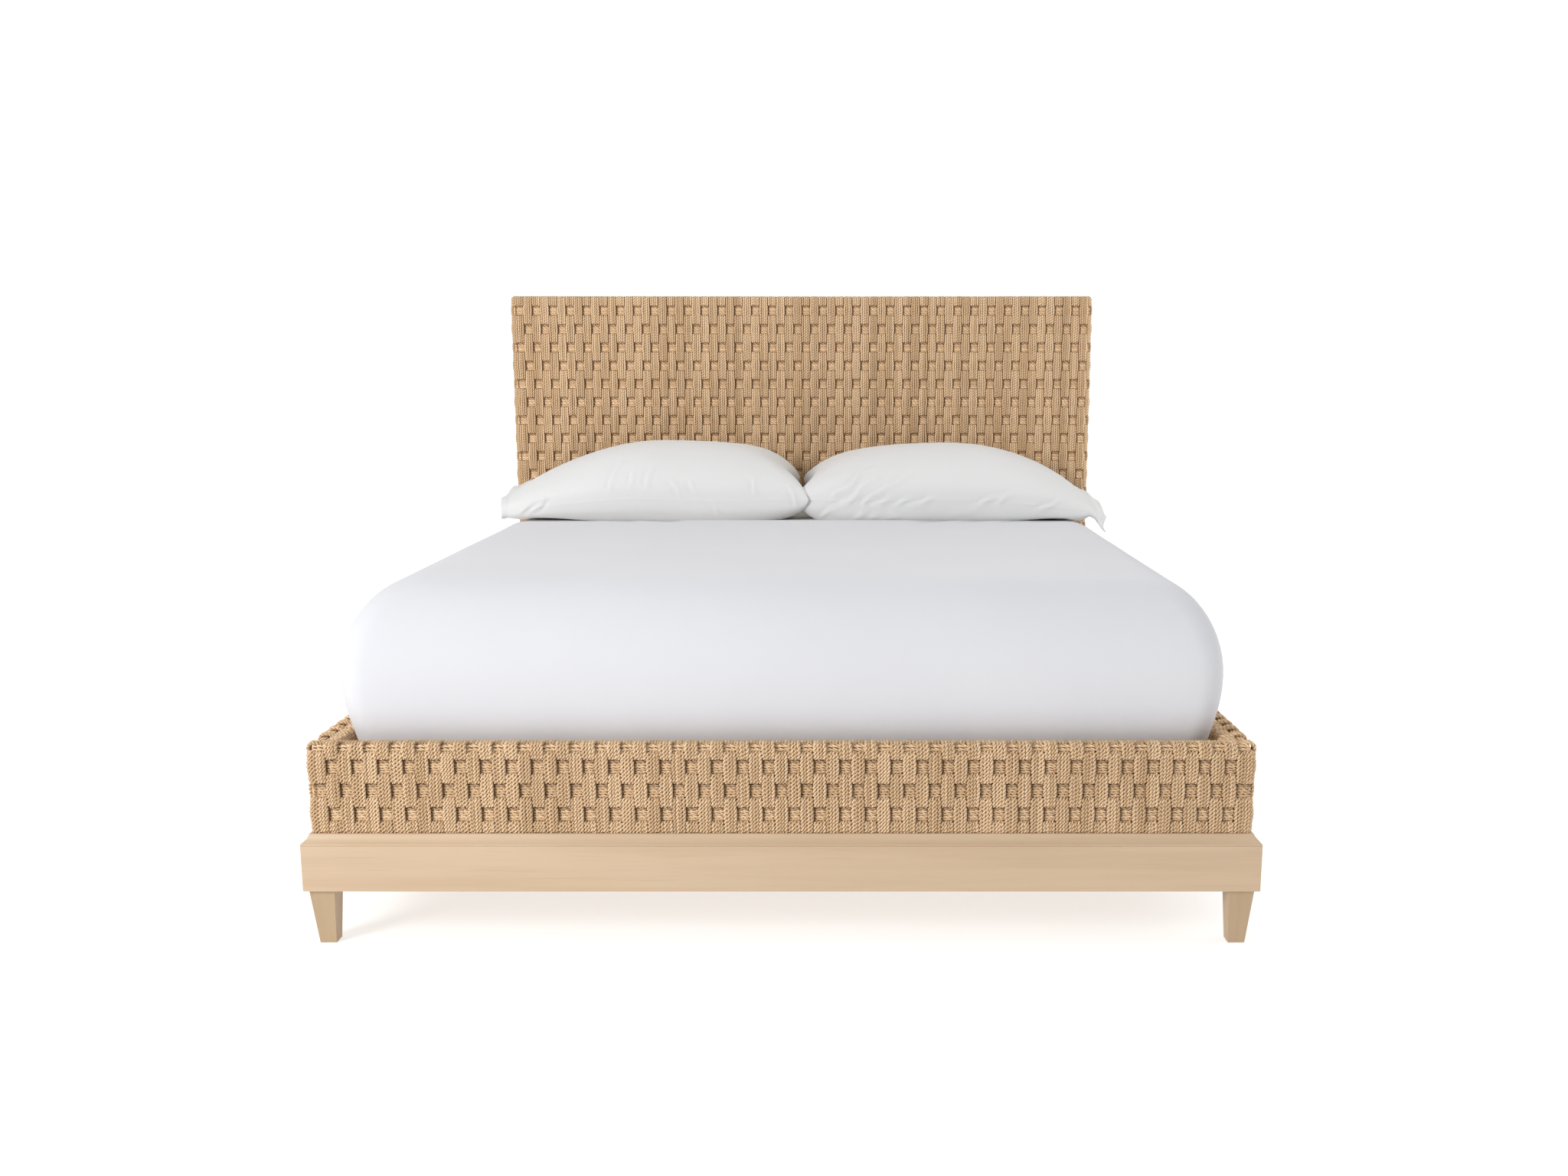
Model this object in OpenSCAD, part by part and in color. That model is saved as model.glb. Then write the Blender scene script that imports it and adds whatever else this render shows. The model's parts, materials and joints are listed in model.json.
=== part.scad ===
// King platform bed with a rope-woven headboard and rails on a wooden plinth.
// Width runs along X, length along Y with the foot end towards -Y, and Z is up.
// The origin is on the floor, under the centre of the bed.

/* [Mattress and bedding] */
// Width of the mattress
mattress_w = 1930; // [1370:10:1980]
// Length of the mattress
mattress_l = 2030; // [1880:10:2130]
// Height of the mattress
mattress_h = 368; // [260:2:420]
// How far the rounding of the mattress's top edge reaches in
edge_w = 138; // [60:2:160]
// Height of the rounding of the mattress's top edge
edge_h = 200; // [80:5:220]
// Radius of the mattress's corners, seen from above
corner_r = 60; // [40:5:90]
// How far the mattress's sides swell out above the rails
mattress_swell = 14; // [0:1:16]
// How far the mattress's sides draw in at its bottom
mattress_tuck = 14; // [8:1:30]
// How deep the mattress sits below the top of the rails
mattress_sink = 35; // [15:1:60]
// Gap between the mattress and the woven side rails
side_gap = 15; // [12:1:30]
// Gap between the mattress and the woven ends
end_gap = 12.5; // [12:0.5:30]
// Thickness of the fitted sheet
sheet_t = 1.5; // [1:0.1:3]
// Thickness of the tucked top cover
cover_t = 6; // [2:0.5:12]
// Length of mattress left bare of the top cover, under the pillows
cover_back = 632; // [450:2:760]

/* [Pillows] */
// Length of a pillow, across the bed
pillow_l = 915; // [600:5:920]
// Width of a pillow, from its front seam to its back seam
pillow_w = 545; // [400:5:560]
// Height of a pillow's crown above the sheet
pillow_h = 222; // [150:2:260]
// Height of a pillow's front seam above the sheet
pillow_front = 66; // [50:2:90]
// Height of a pillow's back seam, which rests higher, against the headboard
pillow_back = 94; // [60:2:120]
// Drop of a pillow's seam from its middle to its outer end
pillow_drop = 34; // [0:2:44]
// Length of the pillowcase's open hem past the pillow
hem_l = 60; // [20:5:70]

/* [Legs and plinth] */
// Height of the corner legs
leg_h = 128; // [80:1:200]
// Width of a leg at its top
leg_top = 57; // [52:1:66]
// Width of a leg at its foot
leg_foot = 37; // [32:1:44]
// How far the legs stand in from the plinth's faces
leg_inset = 10; // [4:1:20]
// How far a leg's inner faces taper in
leg_inner_taper = 7; // [0:0.5:8]
// Height of the plinth boards
board_h = 105; // [80:1:140]
// Thickness of the plinth boards
board_t = 38; // [25:1:45]
// Height of the coved cap on the plinth
cap_h = 23; // [18:1:32]
// How far the plinth stands out past the weave
plinth_lip = 17; // [10:1:25]

/* [Rails and headboard] */
// Height of the woven rails
rail_h = 199; // [190:1:230]
// Thickness of the woven rails
rail_t = 60; // [56:1:70]
// Height of the headboard above the plinth
head_h = 1255; // [900:5:1400]
// Thickness of the headboard
head_t = 70; // [64:1:90]
// How far the headboard stands in from the outer face of each side rail
head_inset = 31; // [0:1:45]
// Thickness of the headboard's plywood panels
ply_t = 12; // [9:1:15]
// Width of the headboard's frame members
stile_w = 90; // [60:5:120]

/* [Weave] */
// Thickness of one layer of rope
rope_t = 5; // [4:0.5:5.5]
// Width of a group of four vertical ropes on the rails
rail_group = 28; // [24:0.5:36]
// Width of a group of four vertical ropes on the headboard
head_group = 29.2; // [24:0.1:36]
// Height between rows of the rails' weave
rail_row = 54; // [46:1:64]
// Height between rows of the headboard's weave
head_row = 62.7; // [50:0.1:76]
// Height of a band of five horizontal ropes
band_h = 32; // [26:1:38]
// Width of the band of ropes along a top edge
top_band_w = 22; // [14:1:24]
// Distance from the top of the rails to the middle of their first row
rail_first = 48; // [44:1:52]
// Distance from the top of the headboard to the middle of its first row
head_first = 50; // [44:1:56]

/* [Slats and supports] */
// Number of slats
slat_n = 13; // [8:1:15]
// Width of a slat
slat_w = 95; // [60:5:100]
// Thickness of a slat
slat_t = 20; // [15:1:25]
// Width of the ledger that carries the slats' ends
ledger_w = 25; // [20:1:35]
// Height of the ledger
ledger_h = 38; // [30:1:50]
// Width of the centre beam
beam_w = 40; // [30:1:60]
// Height of the centre beam
beam_h = 70; // [50:1:90]
// Width of a centre leg
post_w = 45; // [35:1:60]
// Thickness of the glides under the centre legs
glide_t = 6; // [3:1:10]
// Side of the blocks inside the corners
block_w = 60; // [50:1:75]

/* [Hidden] */

wood = [0.87, 0.77, 0.65];
pine = [0.85, 0.72, 0.52];
ply = [0.80, 0.68, 0.50];
rope = [0.82, 0.66, 0.45];
rope_dark = [0.76, 0.60, 0.40];
steel = [0.62, 0.63, 0.65];
linen = [0.95, 0.95, 0.97];
linen_warm = [0.96, 0.95, 0.93];

// Clearances
rope_gap = 0.4;
soft_gap = 0.3;
bore_gap = 0.3;
slat_gap = 2;

// Plan of the bed
woven_w = mattress_w + 2 * (side_gap + rail_t);
plinth_w = woven_w + 2 * plinth_lip;
bed_l = plinth_lip + rail_t + 2 * end_gap + mattress_l + head_t;
front_y = -bed_l / 2;
foot_y = front_y + plinth_lip;
inner_y = foot_y + rail_t;
back_y = bed_l / 2;
head_y = back_y - head_t;
inner_x = woven_w / 2 - rail_t;
head_w = woven_w - 2 * head_inset;

// Heights
cap_z = leg_h + board_h;
rail_z = cap_z + cap_h;
rail_top = rail_z + rail_h;
slat_z = rail_top - mattress_sink - slat_t;
mattress_z = slat_z + slat_t;
head_z = rail_z + head_h;

// The weave has three layers on its outer face and one on its inner face
weave_t = 3 * rope_t;
core_t = rail_t - weave_t - rope_t;
head_core_t = head_t - weave_t - rope_t;
head_core_w = head_w - 2 * weave_t;
flat_h = band_h + 2;
core_x = woven_w / 2 - weave_t - core_t;

// Fasteners
bolt_d = 10;
bolt_nut_d = 17;
bolt_nut_h = 8;
bolt_depth = 60;
screw_d = 4;
screw_head_d = 8;
screw_head_h = 3;
screw_depth = 14;

// Centre support
beam_hanger_t = 3;
beam_seat_l = 40;
post_h = slat_z - beam_h - glide_t;
beam_l = head_y - inner_y - 2 * beam_hanger_t;

// How far the plinth's cap reaches in, as far as the inside of the rail cores
cap_w = plinth_lip + weave_t + core_t;

function range_of(n) = [for (i = [0:n - 1]) i];
function reversed(list) = [for (i = [len(list) - 1:-1:0]) list[i]];

// Places its children at both sides of the bed, the second as a mirror image
module both_sides() {
    children();
    mirror([1, 0, 0]) children();
}

// Lays a profile drawn in X and Z along Y
module along_y(length) {
    translate([0, length, 0]) rotate([90, 0, 0]) linear_extrude(height = length) children();
}

// Lays a profile drawn in Y and Z along X
module along_x(length) {
    rotate([90, 0, 90]) linear_extrude(height = length) children();
}

// Weave
// A warp group is one ribbon of four ropes that climbs the outer face, over and under the bands,
// goes over the top and comes down the inner face. Its level counts rope layers from the core.
// front is the depth of the core's outer face, t the core's thickness, z0 and z1 its bottom and top,
// z_end the height at which the inner face's ropes stop. A banded top has a weft band along it.
function row_heights(top, first, pitch, bottom) =
    reversed([for (z = [top - first:-pitch:bottom + flat_h / 2 + rope_t * 2]) z]);
function is_over(count, row, parity) = (count - row + parity) % 2 == 1;
function face_stations(rows, z0, parity) = concat(
    [[z0, 0]],
    [[z0 + rope_t, 0]],
    [for (k = range_of(len(rows)))
        for (side = [-1, 1])
            [rows[k] + side * flat_h / 2, is_over(len(rows), k, parity) ? 2 : 0]]);
function top_stations(front, over) = over
    ? [[front + top_band_w - rope_t, 2], [front + top_band_w + rope_t, 0]]
    : [];
function warp_line(rows, front, t, z0, z1, z_end, parity, layer, banded) =
    let (
        over_top = banded && is_over(len(rows), len(rows), parity),
        corner = over_top ? 2 : 0,
        up = [for (s = face_stations(rows, z0, parity)) [front - (s[1] + layer) * rope_t, s[0]]],
        bend = [[front - (corner + layer) * rope_t, z1 + (corner + layer) * rope_t]],
        across = [for (s = top_stations(front, over_top)) [s[0], z1 + (s[1] + layer) * rope_t]],
        down = [[front + t + layer * rope_t, z1 + layer * rope_t],
                [front + t + layer * rope_t, z_end]]
    ) concat(up, bend, across, down);
function warp_outline(rows, front, t, z0, z1, z_end, parity, banded) = concat(
    warp_line(rows, front, t, z0, z1, z_end, parity, 1, banded),
    reversed(warp_line(rows, front, t, z0, z1, z_end, parity, 0, banded)));

// The short warp groups on an end face stop under the top
function end_line(rows, z0, z1, parity, layer) = concat(
    [for (s = face_stations(rows, z0, parity)) [(s[1] + layer) * rope_t, s[0]]],
    [[layer * rope_t, z1]]);
function end_outline(rows, z0, z1, parity) = concat(
    end_line(rows, z0, z1, parity, 1),
    reversed(end_line(rows, z0, z1, parity, 0)));

// Warp groups side by side along X, with their outer face towards -Y
module warp_run(length, group, rows, front, t, z0, z1, z_end, banded) {
    count = round(length / group);
    pitch = length / count;
    for (i = range_of(count))
        translate([-length / 2 + i * pitch + rope_gap / 2, 0, 0])
            along_x(pitch - rope_gap)
                polygon(warp_outline(rows, front, t, z0, z1, z_end,
                    banded ? i % 2 : (i + 1) % 2, banded));
}

// Two warp groups on the end face at x, for a panel whose core is t thick behind front
module end_warp(x, rows, front, t, z0, z1) {
    first = front - rope_t;
    pitch = (t + rope_t * 2) / 2;
    for (i = [0, 1])
        translate([x, first + i * pitch + rope_gap / 2, 0])
            along_y(pitch - rope_gap)
                polygon(end_outline(rows, z0, z1, 1 - i));
}

// A weft band runs along the outer face and back along both end faces
module weft_band(core_w, front, t, z, h) {
    outer_w = core_w / 2 + 2 * rope_t;
    middle_w = core_w / 2 + rope_t;
    face = front - 2 * rope_t;
    translate([0, 0, z])
        linear_extrude(height = h)
            polygon([
                [-outer_w, face], [outer_w, face], [outer_w, front + t], [middle_w, front + t],
                [middle_w, face + rope_t], [-middle_w, face + rope_t],
                [-middle_w, front + t], [-outer_w, front + t]
            ]);
}

// The band along a top edge lies between the warp groups that go over and under it, far enough in
// to clear the slope of the groups that rise over it
module top_band(length, front, z1) {
    translate([-length / 2, front - 1.5 * rope_t, z1 + rope_t])
        cube([length, top_band_w, rope_t]);
}

// Rows of the rails and of the headboard, from the lowest up
rail_rows = row_heights(rail_top, rail_first, rail_row, rail_z);
head_rows = row_heights(head_z, head_first, head_row, rail_top);
rail_core_z1 = rail_top - weave_t;
head_core_z1 = head_z - rope_t;
foot_core_w = woven_w - 2 * weave_t;
side_l = head_y - inner_y;
inner_weave_z = slat_z + 3;

module foot_rail_warp() color(rope) translate([0, foot_y, 0]) {
    warp_run(foot_core_w, rail_group, rail_rows, weave_t, core_t, rail_z, rail_core_z1,
        inner_weave_z, true);
    both_sides()
        end_warp(foot_core_w / 2, rail_rows, weave_t, core_t, rail_z, rail_core_z1);
}

module foot_rail_weft() color(rope_dark) translate([0, foot_y, 0]) {
    for (z = rail_rows)
        weft_band(foot_core_w, weave_t, core_t, z - band_h / 2, band_h);
    top_band(foot_core_w, weave_t, rail_core_z1);
}

// Turns a panel drawn with its face towards -Y so that its face is towards -X
module on_left_side() {
    translate([-woven_w / 2, (inner_y + head_y) / 2, 0]) rotate([0, 0, -90]) children();
}

module side_rail_warp() {
    on_left_side()
        warp_run(side_l, rail_group, rail_rows, weave_t, core_t, rail_z, rail_core_z1,
            inner_weave_z, true);
}

module side_rail_weft() {
    on_left_side() {
        for (z = rail_rows)
            translate([-side_l / 2, rope_t, z - band_h / 2]) cube([side_l, rope_t, band_h]);
        top_band(side_l, weave_t, rail_core_z1);
    }
}

module side_rail_warp_left() color(rope) side_rail_warp();
module side_rail_warp_right() color(rope) mirror([1, 0, 0]) side_rail_warp();
module side_rail_weft_left() color(rope_dark) side_rail_weft();
module side_rail_weft_right() color(rope_dark) mirror([1, 0, 0]) side_rail_weft();

module headboard_warp() color(rope) translate([0, head_y, 0]) {
    warp_run(head_core_w, head_group, head_rows, weave_t, head_core_t, rail_top, head_core_z1,
        rail_z, false);
    both_sides()
        end_warp(head_core_w / 2, head_rows, weave_t, head_core_t, rail_z, head_core_z1);
}

module headboard_weft() color(rope_dark) translate([0, head_y, 0]) {
    for (z = head_rows)
        weft_band(head_core_w, weave_t, head_core_t, z - band_h / 2, band_h);
}

// Legs
// A leg drawn for the front left corner tapers mostly on its two outer faces
module leg() {
    x0 = -plinth_w / 2 + leg_inset;
    y0 = front_y + leg_inset;
    drop = leg_top - leg_foot - leg_inner_taper;
    intersection() {
        translate([0, y0, 0]) along_y(leg_top)
            polygon([[x0 + drop, 0], [x0 + drop + leg_foot, 0], [x0 + leg_top, leg_h], [x0, leg_h]]);
        translate([x0, 0, 0]) along_x(leg_top)
            polygon([[y0 + drop, 0], [y0 + drop + leg_foot, 0], [y0 + leg_top, leg_h], [y0, leg_h]]);
    }
}

leg_bolt_xy = board_t + bolt_nut_d / 2 + 2;
module leg_bolt_axis() {
    translate([-plinth_w / 2 + leg_bolt_xy, front_y + leg_bolt_xy, 0]) children();
}

module bored_leg() color(wood) difference() {
    leg();
    leg_bolt_axis() translate([0, 0, leg_h - bolt_depth])
        cylinder(h = bolt_depth + 1, d = bolt_d + 2 * bore_gap, $fn = 32);
}

module leg_front_left() bored_leg();
module leg_front_right() mirror([1, 0, 0]) bored_leg();
module leg_rear_left() mirror([0, 1, 0]) bored_leg();
module leg_rear_right() mirror([1, 0, 0]) mirror([0, 1, 0]) bored_leg();

module leg_bolt() {
    leg_bolt_axis() {
        translate([0, 0, leg_h - bolt_depth + 2])
            cylinder(h = bolt_depth - 2 + block_h + bolt_nut_h + 4, d = bolt_d, $fn = 32);
        translate([0, 0, leg_h + block_h]) cylinder(h = bolt_nut_h, d = bolt_nut_d, $fn = 6);
    }
}

module leg_bolts() color(steel)
    for (m = [0, 1]) mirror([0, m, 0]) both_sides() leg_bolt();

// Plinth
// The front board and cap are mitred to the sides, and the rear ones stand between them
block_h = board_h - 20;
module mitre_prism(w, h) {
    linear_extrude(height = h)
        polygon([
            [-plinth_w / 2, 0], [plinth_w / 2, 0],
            [plinth_w / 2 - w, w], [-plinth_w / 2 + w, w]
        ]);
}

module plinth_front() color(wood)
    translate([0, front_y, leg_h]) mitre_prism(board_t, board_h);

module plinth_side() {
    translate([0, 0, leg_h]) linear_extrude(height = board_h)
        polygon([
            [-plinth_w / 2, front_y], [-plinth_w / 2 + board_t, front_y + board_t],
            [-plinth_w / 2 + board_t, back_y], [-plinth_w / 2, back_y]
        ]);
}

module plinth_left() color(wood) plinth_side();
module plinth_right() color(wood) mirror([1, 0, 0]) plinth_side();
module plinth_rear() color(wood) head_bored()
    translate([-plinth_w / 2 + board_t, back_y - board_t, leg_h])
        cube([plinth_w - 2 * board_t, board_t, board_h]);

// Section of the coved cap, measured in from the plinth's face. The cove is a shallow curve.
cove_step = 3;
cove_w = plinth_lip - 1;
cove_sag = 3;
cove_n = 5;
cap_section = concat(
    [[0, 0]],
    [for (i = [0:cove_n]) let (s = i / cove_n, sag = cove_sag * 4 * s * (1 - s))
        [cove_w * s + sag * 0.78, cove_step + (cap_h - cove_step) * s - sag * 0.62]],
    [[cap_w, cap_h], [cap_w, 0]]);

module cap_front() color(wood) translate([0, front_y, cap_z]) intersection() {
    translate([-plinth_w / 2, 0, 0]) along_x(plinth_w) polygon(cap_section);
    mitre_prism(cap_w, cap_h);
}

module cap_side() {
    translate([-plinth_w / 2, 0, cap_z]) intersection() {
        translate([0, front_y, 0]) along_y(bed_l) polygon(cap_section);
        linear_extrude(height = cap_h)
            polygon([[0, front_y], [cap_w, front_y + cap_w], [cap_w, back_y], [0, back_y]]);
    }
}

module cap_left() color(wood) cap_side();
module cap_right() color(wood) mirror([1, 0, 0]) cap_side();
module cap_rear() color(wood) head_bored()
    translate([-plinth_w / 2 + cap_w, head_y, cap_z])
        cube([plinth_w - 2 * cap_w, head_t, cap_h]);

module corner_block() color(pine) difference() {
    translate([-plinth_w / 2 + board_t, front_y + board_t, leg_h])
        cube([block_w, block_w, block_h]);
    leg_bolt_axis() translate([0, 0, leg_h - 1])
        cylinder(h = block_h + 2, d = bolt_d + 2 * bore_gap, $fn = 32);
}

module corner_block_front_left() corner_block();
module corner_block_front_right() mirror([1, 0, 0]) corner_block();
module corner_block_rear_left() mirror([0, 1, 0]) corner_block();
module corner_block_rear_right() mirror([1, 0, 0]) mirror([0, 1, 0]) corner_block();

// Rail cores
module foot_rail_core() color(pine)
    translate([-foot_core_w / 2, foot_y + weave_t, rail_z])
        cube([foot_core_w, core_t, rail_core_z1 - rail_z]);

module side_rail_core() difference() {
    translate([-core_x - core_t, inner_y, rail_z])
        cube([core_t, side_l, rail_core_z1 - rail_z]);
    rail_bolt_places()
        rotate([0, -90, 0])
            cylinder(h = block_w + rail_bolt_depth + 2, d = bolt_d + 2 * bore_gap, $fn = 32);
}

module side_rail_core_left() color(pine) side_rail_core();
module side_rail_core_right() color(pine) mirror([1, 0, 0]) side_rail_core();

// Blocks inside the corners of the rails, level with the ledgers that carry the slats
rail_block_h = slat_z - rail_z;
rail_bolt_depth = 26;
rail_bolt_heights = [rail_block_h * 0.3, rail_block_h * 0.75];
rail_block_foot_y = inner_y - rope_t;
rail_block_head_y = head_y - block_w;

// Places its children on the inner face of the left blocks, where each bolt goes in
module rail_bolt_places() {
    for (y = [rail_block_foot_y, rail_block_head_y])
        for (h = rail_bolt_heights)
            translate([-core_x + block_w, y + block_w / 2, rail_z + h]) children();
}

module rail_block(y) color(pine) difference() {
    translate([-core_x, y, rail_z]) cube([block_w, block_w, rail_block_h]);
    rail_bolt_places()
        translate([1, 0, 0]) rotate([0, -90, 0])
            cylinder(h = block_w + 2, d = bolt_d + 2 * bore_gap, $fn = 32);
}

module rail_block_foot_left() rail_block(rail_block_foot_y);
module rail_block_foot_right() mirror([1, 0, 0]) rail_block(rail_block_foot_y);
module rail_block_head_left() rail_block(rail_block_head_y);
module rail_block_head_right() mirror([1, 0, 0]) rail_block(rail_block_head_y);

// Bolts from the blocks into the side rails
module rail_block_bolts() color(steel) both_sides() rail_bolt_places() {
    rotate([0, 90, 0]) cylinder(h = bolt_nut_h, d = bolt_nut_d, $fn = 6);
    rotate([0, -90, 0]) cylinder(h = block_w + rail_bolt_depth, d = bolt_d, $fn = 32);
}

// Slats and what carries them
module ledger() difference() {
    translate([-core_x, rail_block_foot_y + block_w, slat_z - ledger_h])
        cube([ledger_w, rail_block_head_y - rail_block_foot_y - block_w, ledger_h]);
    slat_places() slat_screw_places()
        translate([0, 0, -screw_depth - 1])
            cylinder(h = screw_depth + 2, d = screw_d + 2 * bore_gap, $fn = 24);
}

module ledger_left() color(pine) ledger();
module ledger_right() color(pine) mirror([1, 0, 0]) ledger();

slat_l = 2 * (inner_x - slat_gap);
slat_first = inner_y + 20;
slat_pitch = (head_y - 20 - slat_w - slat_first) / (slat_n - 1);
module slat_places() {
    for (i = range_of(slat_n))
        translate([0, slat_first + i * slat_pitch, slat_z]) children();
}

module slat_screw_places() {
    for (side = [-1, 1])
        translate([side * (core_x - ledger_w / 2), slat_w / 2, 0]) children();
}

module slats() color(pine) slat_places()
    difference() {
        translate([-slat_l / 2, 0, 0]) cube([slat_l, slat_w, slat_t]);
        slat_screw_places()
            translate([0, 0, -1]) cylinder(h = slat_t + 2, d = screw_d + 2 * bore_gap, $fn = 24);
        slat_screw_places()
            translate([0, 0, slat_t - screw_head_h - bore_gap])
                cylinder(h = screw_head_h + 1, d = screw_head_d + 2 * bore_gap, $fn = 24);
    }

module slat_screws() color(steel) slat_places() slat_screw_places() {
    translate([0, 0, slat_t - screw_head_h]) cylinder(h = screw_head_h, d = screw_head_d, $fn = 24);
    translate([0, 0, -screw_depth])
        cylinder(h = slat_t - screw_head_h + screw_depth, d = screw_d, $fn = 24);
}

module centre_beam() color(pine)
    translate([-beam_w / 2, inner_y - rope_t + beam_hanger_t, slat_z - beam_h])
        cube([beam_w, side_l + rope_t - 2 * beam_hanger_t, beam_h]);

// Steel shoes that hold the beam's ends
module beam_hanger() {
    outer = beam_w + 2 * beam_hanger_t + 2 * bore_gap;
    difference() {
        translate([-outer / 2, 0, slat_z - beam_h - beam_hanger_t])
            cube([outer, beam_seat_l, beam_h + beam_hanger_t - 5]);
        translate([-beam_w / 2 - bore_gap, beam_hanger_t, slat_z - beam_h])
            cube([beam_w + 2 * bore_gap, beam_seat_l, beam_h + 1]);
    }
}

module beam_hangers() color(steel) {
    translate([0, inner_y - rope_t, 0]) beam_hanger();
    translate([0, head_y, 0]) mirror([0, 1, 0]) beam_hanger();
}

module centre_leg(share) color(pine)
    translate([-post_w / 2, inner_y + side_l * share - post_w / 2, glide_t])
        cube([post_w, post_w, post_h]);

centre_shares = [0.2, 0.5, 0.8];
module centre_leg_foot() centre_leg(centre_shares[0]);
module centre_leg_middle() centre_leg(centre_shares[1]);
module centre_leg_head() centre_leg(centre_shares[2]);
module centre_leg_glides() color([0.2, 0.2, 0.2])
    for (share = centre_shares)
        translate([0, inner_y + side_l * share, 0]) cylinder(h = glide_t, d = post_w - 8, $fn = 48);

// Headboard frame between two plywood skins
frame_t = head_core_t - 2 * ply_t;
frame_y = head_y + weave_t + ply_t;
head_core_h = head_core_z1 - rail_z;
module head_member(x, z, w, h) {
    translate([x, frame_y, z]) cube([w, frame_t, h]);
}

module head_skin(y) {
    translate([-head_core_w / 2, y, rail_z]) cube([head_core_w, ply_t, head_core_h]);
}

module headboard_stile_left() color(pine)
    head_bored() head_member(-head_core_w / 2, rail_z, stile_w, head_core_h);
module headboard_stile_right() color(pine)
    head_bored() head_member(head_core_w / 2 - stile_w, rail_z, stile_w, head_core_h);
module headboard_mid_stile() color(pine)
    head_member(-stile_w / 2, rail_z + stile_w, stile_w, head_core_h - 2 * stile_w);
module headboard_top_rail() color(pine)
    head_member(-head_core_w / 2 + stile_w, head_core_z1 - stile_w,
        head_core_w - 2 * stile_w, stile_w);
module headboard_bottom_rail() color(pine)
    head_bored() head_member(-head_core_w / 2 + stile_w, rail_z,
        head_core_w - 2 * stile_w, stile_w);
module headboard_front_panel() color(ply) head_skin(head_y + weave_t);
module headboard_back_panel() color(ply) head_skin(back_y - rope_t - ply_t);

// The weave stops above this board, which the side rails and the beam meet
module headboard_apron() color(wood)
    translate([-head_core_w / 2, head_y, rail_z]) cube([head_core_w, weave_t, rail_h]);

// Bolts that stand in the rear board of the plinth and run up into the headboard's frame
head_bolt_y = frame_y + frame_t / 2;
head_bolt_x = [head_core_w / 2 - stile_w / 2, head_core_w / 4];
head_bolt_up = 60;
head_bolt_down = 40;
module head_bolt_places(z) {
    for (x = head_bolt_x)
        both_sides() translate([-x, head_bolt_y, z]) children();
}

module head_bored() {
    difference() {
        children();
        head_bolt_places(cap_z - head_bolt_down - 2)
            cylinder(h = head_bolt_down + cap_h + head_bolt_up + 4, d = bolt_d + 2 * bore_gap,
                $fn = 32);
    }
}

module headboard_bolts() color(steel) head_bolt_places(cap_z - head_bolt_down)
    cylinder(h = head_bolt_down + cap_h + head_bolt_up, d = bolt_d, $fn = 32);

// Mattress and the cloth on it
// A soft block has a flat top with wide round edges, sides that swell above the rails and a base
// that draws in. Each step of its section is [height, inset, direction its surface faces].
// grow is how far its surface lies outside the mattress, and bottom is the height of its base.
edge_n = 6;
soft_base_y = [inner_y + end_gap, head_y - end_gap];
function soft_section(bottom) = concat(
    [[bottom, mattress_tuck, 0]],
    [for (i = [0:edge_n]) let (a = 90 * i / edge_n)
        [mattress_h - edge_h * (1 - sin(a)), edge_w * (1 - cos(a)) - mattress_swell, a]]);

module soft_ring(s, grow) {
    x = mattress_w / 2 - s[1] - corner_r;
    front = soft_base_y[0] + s[1] + corner_r;
    back = soft_base_y[1] - max(s[1], 0) - corner_r;
    for (px = [-x, x], py = [front, back])
        translate([px, py, mattress_z + s[0] + grow * sin(s[2])])
            cylinder(h = 0.01, r = corner_r + grow * cos(s[2]), $fn = 24);
}

module soft_block(grow, bottom) {
    hull() for (s = soft_section(bottom)) soft_ring(s, grow);
}

module mattress() color(linen_warm) soft_block(0, 0);

// Cloth of thickness t lies on the block from its hem up, and from the foot to to_y
module cloth_shell(inside, t, hem_z, to_y) {
    big = mattress_w + 200;
    intersection() {
        difference() {
            soft_block(inside + t, -1);
            soft_block(inside, -2);
        }
        translate([-big / 2, foot_y, mattress_z + hem_z])
            cube([big, to_y - foot_y, mattress_h * 2]);
    }
}

cover_end_y = head_y - end_gap - cover_back;
module fitted_sheet() color(linen_warm) cloth_shell(soft_gap, sheet_t, 2, head_y);
module top_cover() color(linen)
    cloth_shell(2 * soft_gap + sheet_t, cover_t, 4, cover_end_y);

// Pillows
// A pillow is drawn on a grid, with u along it and v from its front to its back, both from -1
// to 1. Its sides draw in between the corners, its crown falls to the seam, most gently at the
// outer end, and it is flat where it lies on the bed. grow is how far a surface lies outside it.
pillow_n = 16;
pillow_m = 10;
pillow_seam = 6;
pillow_draw = 0.05;
pillow_mid = (pillow_front + pillow_back) / 2;
pillow_rise = pillow_back - pillow_front;
pillow_top = pillow_h - pillow_mid - pillow_seam;
pillow_belly = 90;
function pillow_side(v) = 1 - pillow_draw * (1 - v * v);
function pillow_end(u) = u < 0 ? pow(1 - u * u, 0.85) : pow(1 - pow(u, 3), 0.5);
function pillow_crown(u, v) = pillow_end(u) * pow(1 - pow(abs(v), 2.8), 0.5);
function pillow_seam_z(u, v) =
    pillow_mid + v * pillow_rise / 2 - pillow_drop * pow(max(0, -u), 2);
function pillow_top_z(u, v, grow) =
    pillow_seam_z(u, v) + pillow_seam / 2 + pillow_top * pillow_crown(u, v) + grow;
function pillow_low_z(u, v, grow) =
    max(0, pillow_seam_z(u, v) - pillow_seam / 2 - pillow_belly * pillow_crown(u, v)) - grow;
function pillow_point(i, j, side, grow) =
    let (u = -cos(180 * i / pillow_n), v = -cos(180 * j / pillow_m))
    [
        u * (pillow_l / 2 + grow) * pillow_side(v),
        v * (pillow_w / 2 + grow) * pillow_side(u),
        side > 0 ? pillow_top_z(u, v, grow) : pillow_low_z(u, v, grow)
    ];
function grid_index(i, j, side) =
    (side > 0 ? 0 : (pillow_n + 1) * (pillow_m + 1)) + i * (pillow_m + 1) + j;
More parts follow.
